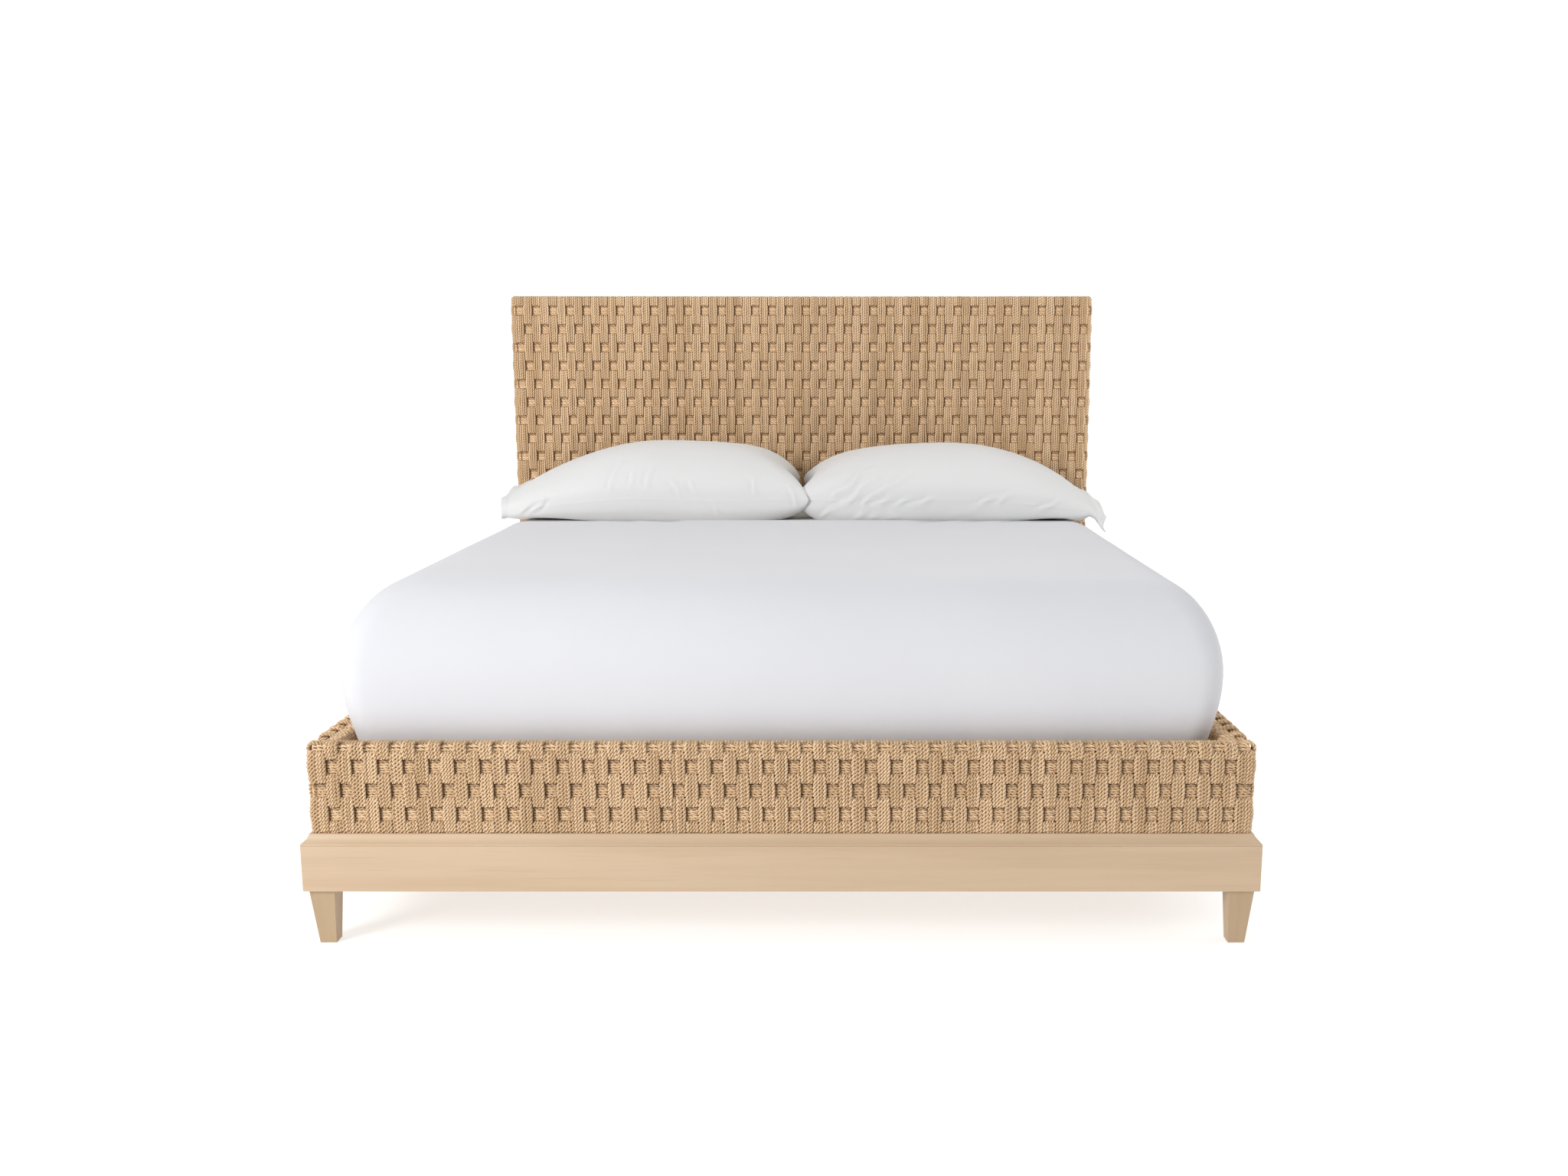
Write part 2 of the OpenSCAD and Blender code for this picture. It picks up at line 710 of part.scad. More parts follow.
function grid_face(i, j, side) =
    let (a = grid_index(i, j, side), b = grid_index(i + 1, j, side),
         c = grid_index(i + 1, j + 1, side), d = grid_index(i, j + 1, side))
    side > 0 ? [[a, c, b], [a, d, c]] : [[a, b, c], [a, c, d]];
function rim(i, j, k, m) =
    let (a = grid_index(i, j, 1), b = grid_index(k, m, 1),
         c = grid_index(k, m, -1), d = grid_index(i, j, -1))
    [[a, b, c], [a, c, d]];

module pillow_form(grow) {
    points = [for (side = [1, -1]) for (i = [0:pillow_n]) for (j = [0:pillow_m])
        pillow_point(i, j, side, grow)];
    faces = concat(
        [for (side = [1, -1]) for (i = [0:pillow_n - 1]) for (j = [0:pillow_m - 1])
            for (f = grid_face(i, j, side)) f],
        [for (i = [0:pillow_n - 1]) for (f = rim(i, 0, i + 1, 0)) f],
        [for (i = [0:pillow_n - 1]) for (f = rim(i + 1, pillow_m, i, pillow_m)) f],
        [for (j = [0:pillow_m - 1]) for (f = rim(0, j + 1, 0, j)) f],
        [for (j = [0:pillow_m - 1]) for (f = rim(pillow_n, j, pillow_n, j + 1)) f]);
    polyhedron(points = points, faces = faces);
}

case_t = 2;
case_out = case_t + soft_gap;
pillow_x = pillow_l / 2 + case_out + 7;
pillow_y = head_y - pillow_w / 2 - 45;
pillow_z = mattress_z + mattress_h + 2 * soft_gap + sheet_t + case_out;
module pillow_place() {
    translate([-pillow_x, pillow_y, pillow_z]) children();
}

module pillow() color(linen_warm) pillow_place() pillow_form(0);
module pillow_left() pillow();
module pillow_right() mirror([1, 0, 0]) pillow();

// A flat sleeve at the outer end of the pillow, in the plane of its seam
module hem_sleeve(l, w, t) {
    translate([-pillow_l / 2 - l, 0, pillow_mid - pillow_drop])
        rotate([atan(pillow_rise / pillow_w), 0, 0])
        translate([0, -w / 2, -t / 2]) cube([l + 40, w, t]);
}

// The case is a skin round the pillow, open at its outer end, where its hem runs past
module pillowcase() color(linen) pillow_place() difference() {
    union() {
        pillow_form(case_out);
        hem_sleeve(hem_l, pillow_w * 0.97, 9);
    }
    pillow_form(soft_gap);
    hem_sleeve(hem_l + 1, pillow_w * 0.97 - 2 * case_t, 5);
}

module pillowcase_left() pillowcase();
module pillowcase_right() mirror([1, 0, 0]) pillowcase();

leg_front_left();
leg_front_right();
leg_rear_left();
leg_rear_right();
leg_bolts();
plinth_front();
plinth_left();
plinth_right();
plinth_rear();
cap_front();
cap_left();
cap_right();
cap_rear();
corner_block_front_left();
corner_block_front_right();
corner_block_rear_left();
corner_block_rear_right();
foot_rail_core();
side_rail_core_left();
side_rail_core_right();
rail_block_foot_left();
rail_block_foot_right();
rail_block_head_left();
rail_block_head_right();
rail_block_bolts();
ledger_left();
ledger_right();
centre_beam();
beam_hangers();
centre_leg_foot();
centre_leg_middle();
centre_leg_head();
centre_leg_glides();
slats();
slat_screws();
headboard_stile_left();
headboard_stile_right();
headboard_mid_stile();
headboard_top_rail();
headboard_bottom_rail();
headboard_front_panel();
headboard_back_panel();
headboard_apron();
headboard_bolts();
headboard_warp();
headboard_weft();
foot_rail_warp();
foot_rail_weft();
side_rail_warp_left();
side_rail_weft_left();
side_rail_warp_right();
side_rail_weft_right();
mattress();
fitted_sheet();
top_cover();
pillow_left();
pillow_right();
pillowcase_left();
pillowcase_right();
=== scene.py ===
# %% [markdown]
# # A king bed woven in rope
# The bed has four families of surface: twisted rope, pale wood, smooth cotton and the plain
# timber that nobody sees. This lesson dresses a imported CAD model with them. The model is loaded
# as a fixed frame, so every piece made here is placed by asking the frame where its solid is.

# %% Load the frame
import math

import bmesh
import bpy
import numpy as np
from mathutils import Matrix, Vector, noise
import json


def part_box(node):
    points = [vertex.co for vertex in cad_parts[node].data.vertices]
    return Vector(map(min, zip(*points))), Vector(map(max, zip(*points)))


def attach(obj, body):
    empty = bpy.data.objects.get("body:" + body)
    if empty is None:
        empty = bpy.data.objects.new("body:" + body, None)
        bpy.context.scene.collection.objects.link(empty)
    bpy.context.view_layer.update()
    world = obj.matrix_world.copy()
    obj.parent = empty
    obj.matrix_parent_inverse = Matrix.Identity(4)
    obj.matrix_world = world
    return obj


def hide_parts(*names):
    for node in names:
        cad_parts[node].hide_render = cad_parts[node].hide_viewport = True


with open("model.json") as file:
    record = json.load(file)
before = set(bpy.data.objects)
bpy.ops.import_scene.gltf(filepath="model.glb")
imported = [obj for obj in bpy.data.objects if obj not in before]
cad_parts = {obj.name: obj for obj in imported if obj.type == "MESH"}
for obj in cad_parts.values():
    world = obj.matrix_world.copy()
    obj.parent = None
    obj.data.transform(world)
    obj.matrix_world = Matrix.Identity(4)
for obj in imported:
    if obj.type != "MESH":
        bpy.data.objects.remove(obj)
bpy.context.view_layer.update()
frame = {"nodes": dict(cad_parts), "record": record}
nodes = frame["nodes"]

# %% [markdown]
# ## Camera
# The photograph is taken from the foot of the bed, a little right of the middle and at the eye
# height of a person who stands. Its view is level from side to side and looks slightly down.
# The camera is set by these three facts; a small lens shift frames the bed as the photo does.

# %% Camera
def put_in_scene(name, data):
    obj = bpy.data.objects.new(name, data)
    bpy.context.scene.collection.objects.link(obj)
    return obj


camera = put_in_scene("camera", bpy.data.cameras.new("camera"))
camera.location = (0.1209, -4.2019, 1.2660)
camera.rotation_euler = (math.radians(79.55), 0, 0)
camera.data.sensor_width = 36
camera.data.lens = 33.86
camera.data.shift_x = -0.0334
camera.data.shift_y = 0.0329
bpy.context.scene.camera = camera
print("camera height:", round(camera.location.z, 3), "lens:", round(camera.data.lens, 2))

# %% [markdown]
# ## Writing node trees as sums
# Materials and geometry trees are both graphs of nodes. Wiring them by hand hides the idea, so a
# small class wraps an output socket and turns + - * / into Math nodes. Any other node is added
# by one method that takes its type, its settings and the values or links of its sockets.

# %% A socket that can be used in arithmetic
class Value:
    def __init__(self, build, socket):
        self.build = build
        self.socket = socket

    def math(self, operation, *others):
        given = dict(enumerate((self, *others)))
        return self.build.add("ShaderNodeMath", {"operation": operation}, given)

    def __add__(self, other):
        return self.math("ADD", other)

    def __sub__(self, other):
        return self.math("SUBTRACT", other)

    def __rsub__(self, other):
        return self.math("MULTIPLY", -1.0) + other

    def __mul__(self, other):
        return self.math("MULTIPLY", other)

    def __truediv__(self, other):
        return self.math("DIVIDE", other)


class Build:
    """Adds nodes to a tree, with values or links for their sockets."""

    def __init__(self, tree):
        self.tree = tree

    def put(self, socket, value):
        if isinstance(value, Value):
            self.tree.links.new(value.socket, socket)
        else:
            socket.default_value = value

    def pick(self, sockets, key):
        if isinstance(key, int):
            return [s for s in sockets if s.enabled][key]
        return next(s for s in sockets if s.enabled and s.name == key)

    def add(self, kind, settings=None, values=None, out=0):
        node = self.tree.nodes.new(kind)
        for name, value in (settings or {}).items():
            if name == "stops":
                self.set_stops(node.color_ramp, value)
            else:
                setattr(node, name, value)
        for key, value in (values or {}).items():
            self.put(self.pick(node.inputs, key), value)
        return Value(self, self.pick(node.outputs, out))

    def set_stops(self, ramp, stops):
        while len(ramp.elements) < len(stops):
            ramp.elements.new(0.5)
        for element, (place, colour) in zip(ramp.elements, stops):
            element.position = place
            element.color = (*colour, 1)

    def vector(self, operation, *given, **named):
        values = {**dict(enumerate(given)), **named}
        return self.add("ShaderNodeVectorMath", {"operation": operation}, values)

# %% A material with short names for its usual nodes
class Finish(Build):
    """A Principled material. What varies is fed in, and what is constant is set on its socket."""

    def __init__(self, name, roughness=0.6, **constants):
        self.material = bpy.data.materials.new(name)
        self.material.use_nodes = True
        super().__init__(self.material.node_tree)
        self.shader = self.tree.nodes["Principled BSDF"]
        self.shader.inputs["Roughness"].default_value = roughness
        for key, value in constants.items():
            self.shader.inputs[key.replace("_", " ")].default_value = value

    def feed(self, name, value):
        self.put(self.shader.inputs[name], value)

    def place(self, scale=(1, 1, 1)):
        spot = self.add("ShaderNodeTexCoord", out="Object")
        return self.add("ShaderNodeMapping", values={"Vector": spot, "Scale": scale})

    def attribute(self, name):
        return self.add("ShaderNodeAttribute", {"attribute_name": name}, out="Fac")

    def noise(self, vector, scale, detail=3.0, rough=0.5):
        values = {"Vector": vector, "Scale": scale, "Detail": detail, "Roughness": rough}
        return self.add("ShaderNodeTexNoise", values=values, out="Fac")

    def ramp(self, factor, *stops):
        return self.add("ShaderNodeValToRGB", {"stops": stops}, {"Fac": factor}, out="Color")

    def mix(self, factor, first, second):
        values = {"Factor": factor, "A": first, "B": second}
        return self.add("ShaderNodeMix", {"data_type": "RGBA"}, values, out="Result")

    def smooth(self, value, low, high):
        values = {"Value": value, "From Min": low, "From Max": high}
        return self.add("ShaderNodeMapRange", {"interpolation_type": "SMOOTHSTEP"}, values)

    def bump(self, height, strength, distance):
        values = {"Height": height, "Strength": strength, "Distance": distance}
        self.feed("Normal", self.add("ShaderNodeBump", values=values))

# %% [markdown]
# ## Floor
# The photo is a studio cut-out on pure white, with hardly a shadow under the bed. The floor is a
# light table, lit from below. The greyer its paper, the less a shadow takes from it, and the glow
# from below makes up what the grey leaves out of white.

# %% Floor
floor_half = 30.0
floor_grey = 0.50
floor_glow = 0.64


def studio_floor(half):
    mesh = bpy.data.meshes.new("floor")
    corners = [(-half, -half, 0), (half, -half, 0), (half, half, 0), (-half, half, 0)]
    mesh.from_pydata(corners, [], [(0, 1, 2, 3)])
    light_table = Finish("light_table", roughness=0.9, Emission_Color=(1, 1, 1, 1),
                         Emission_Strength=floor_glow,
                         Base_Color=(floor_grey, floor_grey, floor_grey, 1))
    mesh.materials.append(light_table.material)
    return put_in_scene("floor", mesh)


floor = studio_floor(floor_half)
print("the floor is", 2 * floor_half, "m wide")

# %% [markdown]
# ## Lamps and room
# Light comes from everywhere, and more of it from the left, so the left end of every board is
# brighter than its right end. A strong lamp far to the left gives this slope, and a weak one on
# the right opens the shadows there. The room is a dim world, brighter above and on the wall
# behind the bed. The camera itself sees it white from every side, as paper without an end.

# %% Lamps and room
def soft_lamp(name, place, aim, size, power):
    data = bpy.data.lights.new(name, "AREA")
    data.shape = "DISK"
    data.size = size
    data.energy = power
    lamp = put_in_scene(name, data)
    lamp.location = place
    lamp.rotation_euler = (Vector(aim) - Vector(place)).to_track_quat("-Z", "Y").to_euler()


def studio_world(room=0.40, backdrop=1.0, overhead=0.45):
    """Light from every side, and more from the wall towards +Y and from above."""
    world = bpy.data.worlds.new("studio")
    world.use_nodes = True
    b = Build(world.node_tree)
    way = b.add("ShaderNodeTexCoord", out="Generated")
    back, up = (b.add("ShaderNodeSeparateXYZ", values={0: way}, out=axis) for axis in "YZ")
    wall = b.add("ShaderNodeMapRange", {"interpolation_type": "SMOOTHSTEP"}, {
        "Value": back, "From Min": 0.35, "From Max": 0.80, "To Min": room, "To Max": backdrop})
    seen = b.add("ShaderNodeLightPath", out="Is Camera Ray")
    background = world.node_tree.nodes["Background"]
    background.inputs["Color"].default_value = (1, 1, 1, 1)
    b.put(background.inputs["Strength"], (up * overhead + wall).math("MAXIMUM", seen))
    bpy.context.scene.world = world


studio_world()
soft_lamp("left_lamp", (-4.2, -4.6, 2.8), (0.1, -0.2, 0.6), size=2.2, power=225)
soft_lamp("right_lamp", (5.5, 0.2, 3.0), (1.0, 0, 0.5), size=3.0, power=60)
bpy.context.scene.view_settings.view_transform = "Standard"
print("the world is", bpy.context.scene.world.name, "and both lamps are in")

# %% [markdown]
# ## Rope finish
# The rope is a tan plant fibre, two yarns twisted together. What the eye reads is a row of short
# slanted strokes, light on each yarn and brown in the groove between two; that brown is painted
# shade. Near ropes get the groove from their own shape. On far ones the strokes are drawn from
# the length along the rope and the place across it, which the geometry tree writes on every rope
# as attributes. Painted shade also darkens the edges of each rope and the parts that lie deep.

# %% Rope finish
lay_length = 0.0176
rope_light = (0.84, 0.61, 0.385)
rope_dark = (0.20, 0.105, 0.048)
aged_tint = (0.74, 0.69, 0.62)
fibre_scale = 800.0
patch_scale = 9.0


def rope_finish(name, shaped, lay=lay_length, groove_shade_share=0.58, edge_shade_share=0.34, tone=1.0,
                level=False):
    """A shaped rope gets its groove from its own two yarns, and a drawn one from the length
    along it. Painted shade darkens the groove, the edges and where a rope lies deep, and the
    highest level rope in a band gets a painted shadow from the upright groups above it."""
    finish = Finish(name, roughness=0.82)
    spot = finish.place()
    fibre = finish.noise(spot, fibre_scale, 2.0, 0.6)
    patch = finish.noise(spot, patch_scale, 2.0)
    way = finish.add("ShaderNodeAttribute", {"attribute_name": "way"}, out="Vector")
    way = finish.vector("NORMALIZE", way)
    x, y = (finish.add("ShaderNodeSeparateXYZ", values={0: way}, out=axis) for axis in "XY")
    if not shaped:
        turn = finish.attribute("along") * (2 * math.pi / lay)
        x = x * turn.math("COSINE") + y * turn.math("SINE")
    groove = x.math("ABSOLUTE")
    light = [c * tone for c in rope_light]
    aged = [c * t for c, t in zip(light, aged_tint)]
    age = finish.smooth(finish.attribute("shade") * 0.6 + patch * 0.4, 0.15, 0.85)
    yarn = finish.mix(age, (*light, 1), (*aged, 1))
    # painted shade where a rope lies deep behind a band or beside a group
    hidden = finish.smooth(finish.attribute("low"), 0.2, 1.0) * 0.85
    if level:
        # painted shadow on the highest rope of each band, from the upright groups above it
        hidden = hidden + finish.smooth(finish.attribute("lane") * -1.0, 1.2, 2.0) * 0.45
    # painted shade in the groove between the two yarns
    crease = finish.smooth(groove + (fibre - 0.5) * 0.15, 0.78 if shaped else 0.66, 1.0)
    # painted shade at the edges, where a rope meets its neighbours
    edge = finish.smooth(finish.attribute("cross").math("ABSOLUTE") * 2.0, 0.62, 1.0)
    # painted shade from groove, edges and depth, plus the fibre's own light and dark
    painted_shade_and_fibre = crease * groove_shade_share + edge * edge_shade_share + (fibre - 0.5) * 0.25 + hidden
    painted_shade_and_fibre = painted_shade_and_fibre.math("MINIMUM", 1.0).math("MAXIMUM", 0.0)
    finish.feed("Base Color", finish.mix(painted_shade_and_fibre, yarn, (*rope_dark, 1)))
    finish.bump((1.0 - groove * groove) + fibre * 0.2, strength=0.8, distance=0.0011)
    return finish.material


rope_near = rope_finish("rope_twisted", shaped=True)
rope_far = rope_finish("rope_drawn", shaped=False, tone=1.08)
# the level ropes are the same rope in a lighter tone: painted light in the recessed bands
rope_near_level = rope_finish("rope_twisted_level", shaped=True, groove_shade_share=0.45,
                              edge_shade_share=0.12, tone=1.18, level=True)
rope_far_level = rope_finish("rope_drawn_level", shaped=False, lay=lay_length * 1.5,
                             groove_shade_share=0.50, edge_shade_share=0.20, tone=1.22, level=True)
print("rope finishes:", rope_near.name, rope_far.name, rope_near_level.name, rope_far_level.name)

# %% [markdown]
# ## A tree that lays ropes in groups
# The weave is one rope repeated: four beside each other make a group, and groups alternate
# between two paths, one over and one under each band. Geometry Nodes suit this exactly. The host
# mesh holds the two paths as polylines marked with a phase. The tree copies them group by group,
# turns each into a curve, and sweeps a two-lobed section along it that turns with the lay.

# %% Inputs of the rope tree
rope_inputs = [
    ("Groups", "NodeSocketInt", 1), ("First group", "NodeSocketInt", 0),
    ("Strands", "NodeSocketInt", 1), ("Group step", "NodeSocketVector", (0, 0, 0)),
    ("Strand step", "NodeSocketVector", (0, 0, 0)), ("Across", "NodeSocketVector", (1, 0, 0)),
    ("Radius", "NodeSocketFloat", 0.0036), ("Waist", "NodeSocketFloat", 0.7),
    ("Sides", "NodeSocketInt", 6), ("Spacing", "NodeSocketFloat", 0.003),
    ("Turns per metre", "NodeSocketFloat", 0.0), ("Wobble", "NodeSocketFloat", 0.0005),
    ("Spread", "NodeSocketFloat", 0.0),
    ("Seed", "NodeSocketInt", 1), ("Material", "NodeSocketMaterial", None),
]


class RopeBuild(Build):
    def store(self, geometry, name, value, kind="FLOAT"):
        return self.add("GeometryNodeStoreNamedAttribute",
                        {"data_type": kind, "domain": "POINT"},
                        {"Geometry": geometry, "Name": name, "Value": value})

    def named(self, name, kind="FLOAT"):
        return self.add("GeometryNodeInputNamedAttribute", {"data_type": kind}, {"Name": name})


print("inputs of the rope tree:", len(rope_inputs))

# %% [markdown]
# ## Section and copies
# The section is one ring of points. Its waist is drawn in on one axis, so that a sweep with
# turns along the way looks like two yarns round each other. The copies are points on a line,
# one for each rope, and an instance of the path for that rope's group stands on each of them.

# %% Section of a rope
def rope_section(b, take):
    """A closed ring of two round yarns side by side, or a plain ring where the waist is 1."""
    ring = b.add("GeometryNodeCurvePrimitiveCircle", {"mode": "RADIUS"},
                 {"Resolution": take("Sides"), "Radius": 1.0})
    spot = b.add("GeometryNodeInputPosition")
    ring = b.store(ring, "way", spot, "FLOAT_VECTOR")
    lobe = b.add("ShaderNodeSeparateXYZ", values={0: spot}, out="Y").math("ABSOLUTE")
    size = take("Radius") * lobe.math("MAXIMUM", take("Waist"))
    wider = take("Waist") * -0.40 + 1.40
    plump = b.add("ShaderNodeCombineXYZ", values={"X": wider, "Y": 1.0, "Z": 1.0})
    shaped = b.vector("MULTIPLY", b.vector("SCALE", spot, Scale=size), plump)
    return b.add("GeometryNodeSetPosition", values={"Geometry": ring, "Position": shaped})

# %% Copies of the paths
nudge_size = 0.0003


def rope_copies(b, take):
    """Both paths, copied to every rope's place. The 0.001 keeps a whole quotient whole."""
    count = take("Groups") * take("Strands")
    line = b.add("GeometryNodeMeshLine", {"mode": "OFFSET"}, {"Count": count})
    index = b.add("GeometryNodeInputIndex")
    group = (index / take("Strands") + 0.001).math("FLOOR")
    strand = index - group * take("Strands")
    place = b.vector("ADD", b.vector("SCALE", take("Group step"), Scale=group),
                     b.vector("SCALE", take("Strand step"), Scale=strand))
    nudge = b.add("FunctionNodeRandomValue", {"data_type": "FLOAT_VECTOR"},
                  {"Min": (-nudge_size,) * 3, "Max": (nudge_size,) * 3, "Seed": take("Seed")})
    points = b.add("GeometryNodeSetPosition",
                   values={"Geometry": line, "Position": b.vector("ADD", place, nudge)})
    points = b.store(points, "lane", strand - (take("Strands") - 1.0) * 0.5)
    odd = (group + take("First group")).math("MODULO", 2.0)
    copies = []
    for phase, chosen in ((0, 1.0 - odd), (1, odd)):
        wanted = 1.0 - (b.named("phase") - float(phase)).math("ABSOLUTE")
        path = b.add("GeometryNodeSeparateGeometry", {"domain": "POINT"},
                     {"Geometry": take("Geometry"), "Selection": wanted})
        copies.append(b.add("GeometryNodeInstanceOnPoints",
                            values={"Points": points, "Selection": chosen, "Instance": path}))
    joined = b.tree.nodes.new("GeometryNodeJoinGeometry")
    for copy in copies:
        b.tree.links.new(copy.socket, joined.inputs[0])
    return b.add("GeometryNodeRealizeInstances",
                 values={"Geometry": Value(b, joined.outputs[0])})

# %% [markdown]
# ## From path to rope
# Each path becomes a curve, and every rope then gets a chance of its own, which sets its tone,
# where its strokes begin and how it drifts off the path. The section is swept along the curve,
# and each point notes how far across the rope it lies, for the finish to paint shade at the
# edges.

# %% Curves, drift and sweep
def rope_lines(b, take):
    """The copies as curves, spread over the bands, with even rings if a spacing is given."""
    curve = b.add("GeometryNodeMeshToCurve", values={"Mesh": rope_copies(b, take)})
    aside = b.named("lane") * b.named("over") * take("Spread")
    curve = b.add("GeometryNodeSetPosition", values={
        "Geometry": curve, "Offset": b.vector("SCALE", take("Across"), Scale=aside)})
    even = b.add("GeometryNodeResampleCurve", {"mode": "LENGTH"},
                 {"Curve": curve, "Length": take("Spacing").math("MAXIMUM", 0.001)})
    return b.add("GeometryNodeSwitch", {"input_type": "GEOMETRY"}, {
        "Switch": take("Spacing").math("GREATER_THAN", 0.0), "False": curve, "True": even})


def rope_drift(b, take, curve):
    """Gives every rope its tone, its length along it, a slight drift and its turns."""
    own = b.add("GeometryNodeFieldOnDomain", {"domain": "CURVE", "data_type": "INT"},
                {"Value": b.add("GeometryNodeInputIndex")})
    chance = b.add("FunctionNodeRandomValue", {"data_type": "FLOAT"},
                   {"ID": own, "Seed": take("Seed")})
    along = b.add("GeometryNodeSplineParameter", out="Length")
    curve = b.store(curve, "shade", chance)
    curve = b.store(curve, "along", along + chance)
    spot = b.add("GeometryNodeInputPosition")
    drift = b.add("ShaderNodeTexNoise", {"noise_dimensions": "4D"},
                  {"Vector": spot, "W": chance * 90.0, "Scale": 22.0, "Detail": 1.0}, out="Color")
    offset = b.vector("SCALE", b.vector("SUBTRACT", drift, (0.5, 0.5, 0.5)),
                      Scale=take("Wobble") * 2.0)
    curve = b.add("GeometryNodeSetPosition", values={"Geometry": curve, "Offset": offset})
    curve = b.store(curve, "centre", b.add("GeometryNodeInputPosition"), "FLOAT_VECTOR")
    turn = (b.named("along") * take("Turns per metre") + chance) * (2 * math.pi)
    return b.add("GeometryNodeSetCurveTilt", values={"Curve": curve, "Tilt": turn})


def rope_skin(b, take, curve):
    """The swept mesh, with the place across the rope on each point."""
    mesh = b.add("GeometryNodeCurveToMesh", values={
        "Curve": curve, "Profile Curve": rope_section(b, take), "Fill Caps": True})
    away = b.vector("SUBTRACT", b.add("GeometryNodeInputPosition"),
                    b.named("centre", "FLOAT_VECTOR"))
    across = b.add("ShaderNodeVectorMath", {"operation": "DOT_PRODUCT"},
                   {0: away, 1: take("Across")})
    mesh = b.store(mesh, "cross", across / (take("Radius") * 2.0))
    mesh = b.add("GeometryNodeSetShadeSmooth", values={"Geometry": mesh})
    return b.add("GeometryNodeSetMaterial",
                 values={"Geometry": mesh, "Material": take("Material")})

# %% The whole tree
def rope_tree():
    tree = bpy.data.node_groups.new("ropes_in_groups", "GeometryNodeTree")
    tree.interface.new_socket(name="Geometry", in_out="INPUT", socket_type="NodeSocketGeometry")
    for name, kind, default in rope_inputs:
        socket = tree.interface.new_socket(name=name, in_out="INPUT", socket_type=kind)
        if default is not None:
            socket.default_value = default
    tree.interface.new_socket(name="Geometry", in_out="OUTPUT", socket_type="NodeSocketGeometry")
    b = RopeBuild(tree)
    given = tree.nodes.new("NodeGroupInput")

    def take(name):
        return Value(b, given.outputs[name])

    mesh = rope_skin(b, take, rope_drift(b, take, rope_lines(b, take)))
    out = tree.nodes.new("NodeGroupOutput")
    tree.links.new(mesh.socket, out.inputs["Geometry"])
    return tree


ropes_in_groups = rope_tree()
rope_ids = {s.name: s.identifier for s in ropes_in_groups.interface.items_tree
            if s.in_out == "INPUT"}
print("rope tree:", len(ropes_in_groups.nodes), "nodes")

# %% Turning a host into a plain piece
def polylines(name, paths, phases):
    """A host mesh of open polylines, each marked with the phase it stands for. A path's points
    are x, y, z, how far the rope stands over a band, and how far it is hidden, which the finish
    paints as shade."""
    points, edges = [], []
    marks = {"phase": [], "over": [], "low": []}
    for path, phase in zip(paths, phases):
        start = len(points)
        points += [tuple(p[:3]) for p in path]
        edges += [(i, i + 1) for i in range(start, len(points) - 1)]
        marks["phase"] += [float(phase)] * len(path)
        for key, place in (("over", 3), ("low", 4)):
            marks[key] += [float(p[place]) if len(p) > place else 0.0 for p in path]
    mesh = bpy.data.meshes.new(name)
    mesh.from_pydata(points, edges, [])
    for key, values in marks.items():
        mesh.attributes.new(key, "FLOAT", "POINT").data.foreach_set("value", values)
    return put_in_scene(name, mesh)


def plain(obj):
    """Applies every modifier and leaves one plain mesh."""
    evaluated = obj.evaluated_get(bpy.context.evaluated_depsgraph_get())
    mesh = bpy.data.meshes.new_from_object(evaluated)
    obj.modifiers.clear()
    old, obj.data = obj.data, mesh
    bpy.data.meshes.remove(old)


def rope_piece(name, paths, phases, place, **inputs):
    """Ropes on these paths, as a plain mesh that is moved to its place."""
    host = polylines(name, paths, phases)
    modifier = host.modifiers.new("ropes", "NODES")
    modifier.node_group = ropes_in_groups
    for key, value in inputs.items():
        modifier[rope_ids[key.replace("_", " ")]] = value
    plain(host)
    for extra in ("centre", "phase", "over"):
        if extra in host.data.attributes:
            host.data.attributes.remove(host.data.attributes[extra])
    host.data.transform(place)
    host.data.calc_loop_triangles()
    print(name, "triangles:", len(host.data.loop_triangles))
    return host


def wear(obj, body, node):
    """Says what a piece stands for: its body, and the CAD node in its place, which is hidden."""
    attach(obj, body)
    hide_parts(node)

# %% [markdown]
# ## The path of one rope
# Seen from the side, a rope climbs the outer face, stands out over one band, dives behind the
# next, turns over the top edge and runs down the inner face. It dives steeply, because the band
# is packed tight, so each place where it is hidden shows as a sharp little window of level rope.
# Points are put only where the path bends. Over a band the four ropes of a group also spread.

# %% Paths over and under the bands
layer = 0.005
weave_depth = 3 * layer
band_height = 0.032
rope_radius = 0.0039
over_depth = 0.0026
under_depth = 0.0170
band_depth = 0.0100
mid_level = 0.84
row_clearance = 0.011
over_shape = ((-0.018, mid_level), (-0.010, 0.96), (0, 1.0), (0.010, 0.96), (0.018, mid_level))
under_shape = ((-0.0230, mid_level), (-0.0195, 0.68), (-0.0160, 0.12), (-0.010, 0.0),
               (0.010, 0.0), (0.0155, 0.12), (0.0185, 0.68), (0.0220, mid_level))


def band_rows(top, first, step, bottom):
    """Heights of the bands, from the highest down to the last that fits above the bottom."""
    rows = []
    while top - first - step * len(rows) >= bottom + band_height / 2 + row_clearance:
        rows.append(top - first - step * len(rows))
    return rows


def stood_out(depth):
    """How far a rope at this depth stands over a band, from 0 to 1."""
    level = (under_depth - depth) / (under_depth - over_depth)
    return min(max((level - mid_level) / (1 - mid_level), 0), 1)


def climb(rows, phase, bottom):
    """Points (depth, z, how far hidden) up the outer face; phase 0 is over the top band."""
    stations = [(bottom, 0.60), (bottom + 0.008, mid_level)]
    for k in reversed(range(len(rows))):
        shape = over_shape if (k + phase) % 2 == 0 else under_shape
        stations += [(rows[k] + rise, level) for rise, level in shape]
    return [(under_depth + (over_depth - under_depth) * level, z,
             max(0, mid_level - level) / mid_level) for z, level in stations]


print("from over a band to under one:", round(1000 * (under_depth - over_depth), 1), "mm")

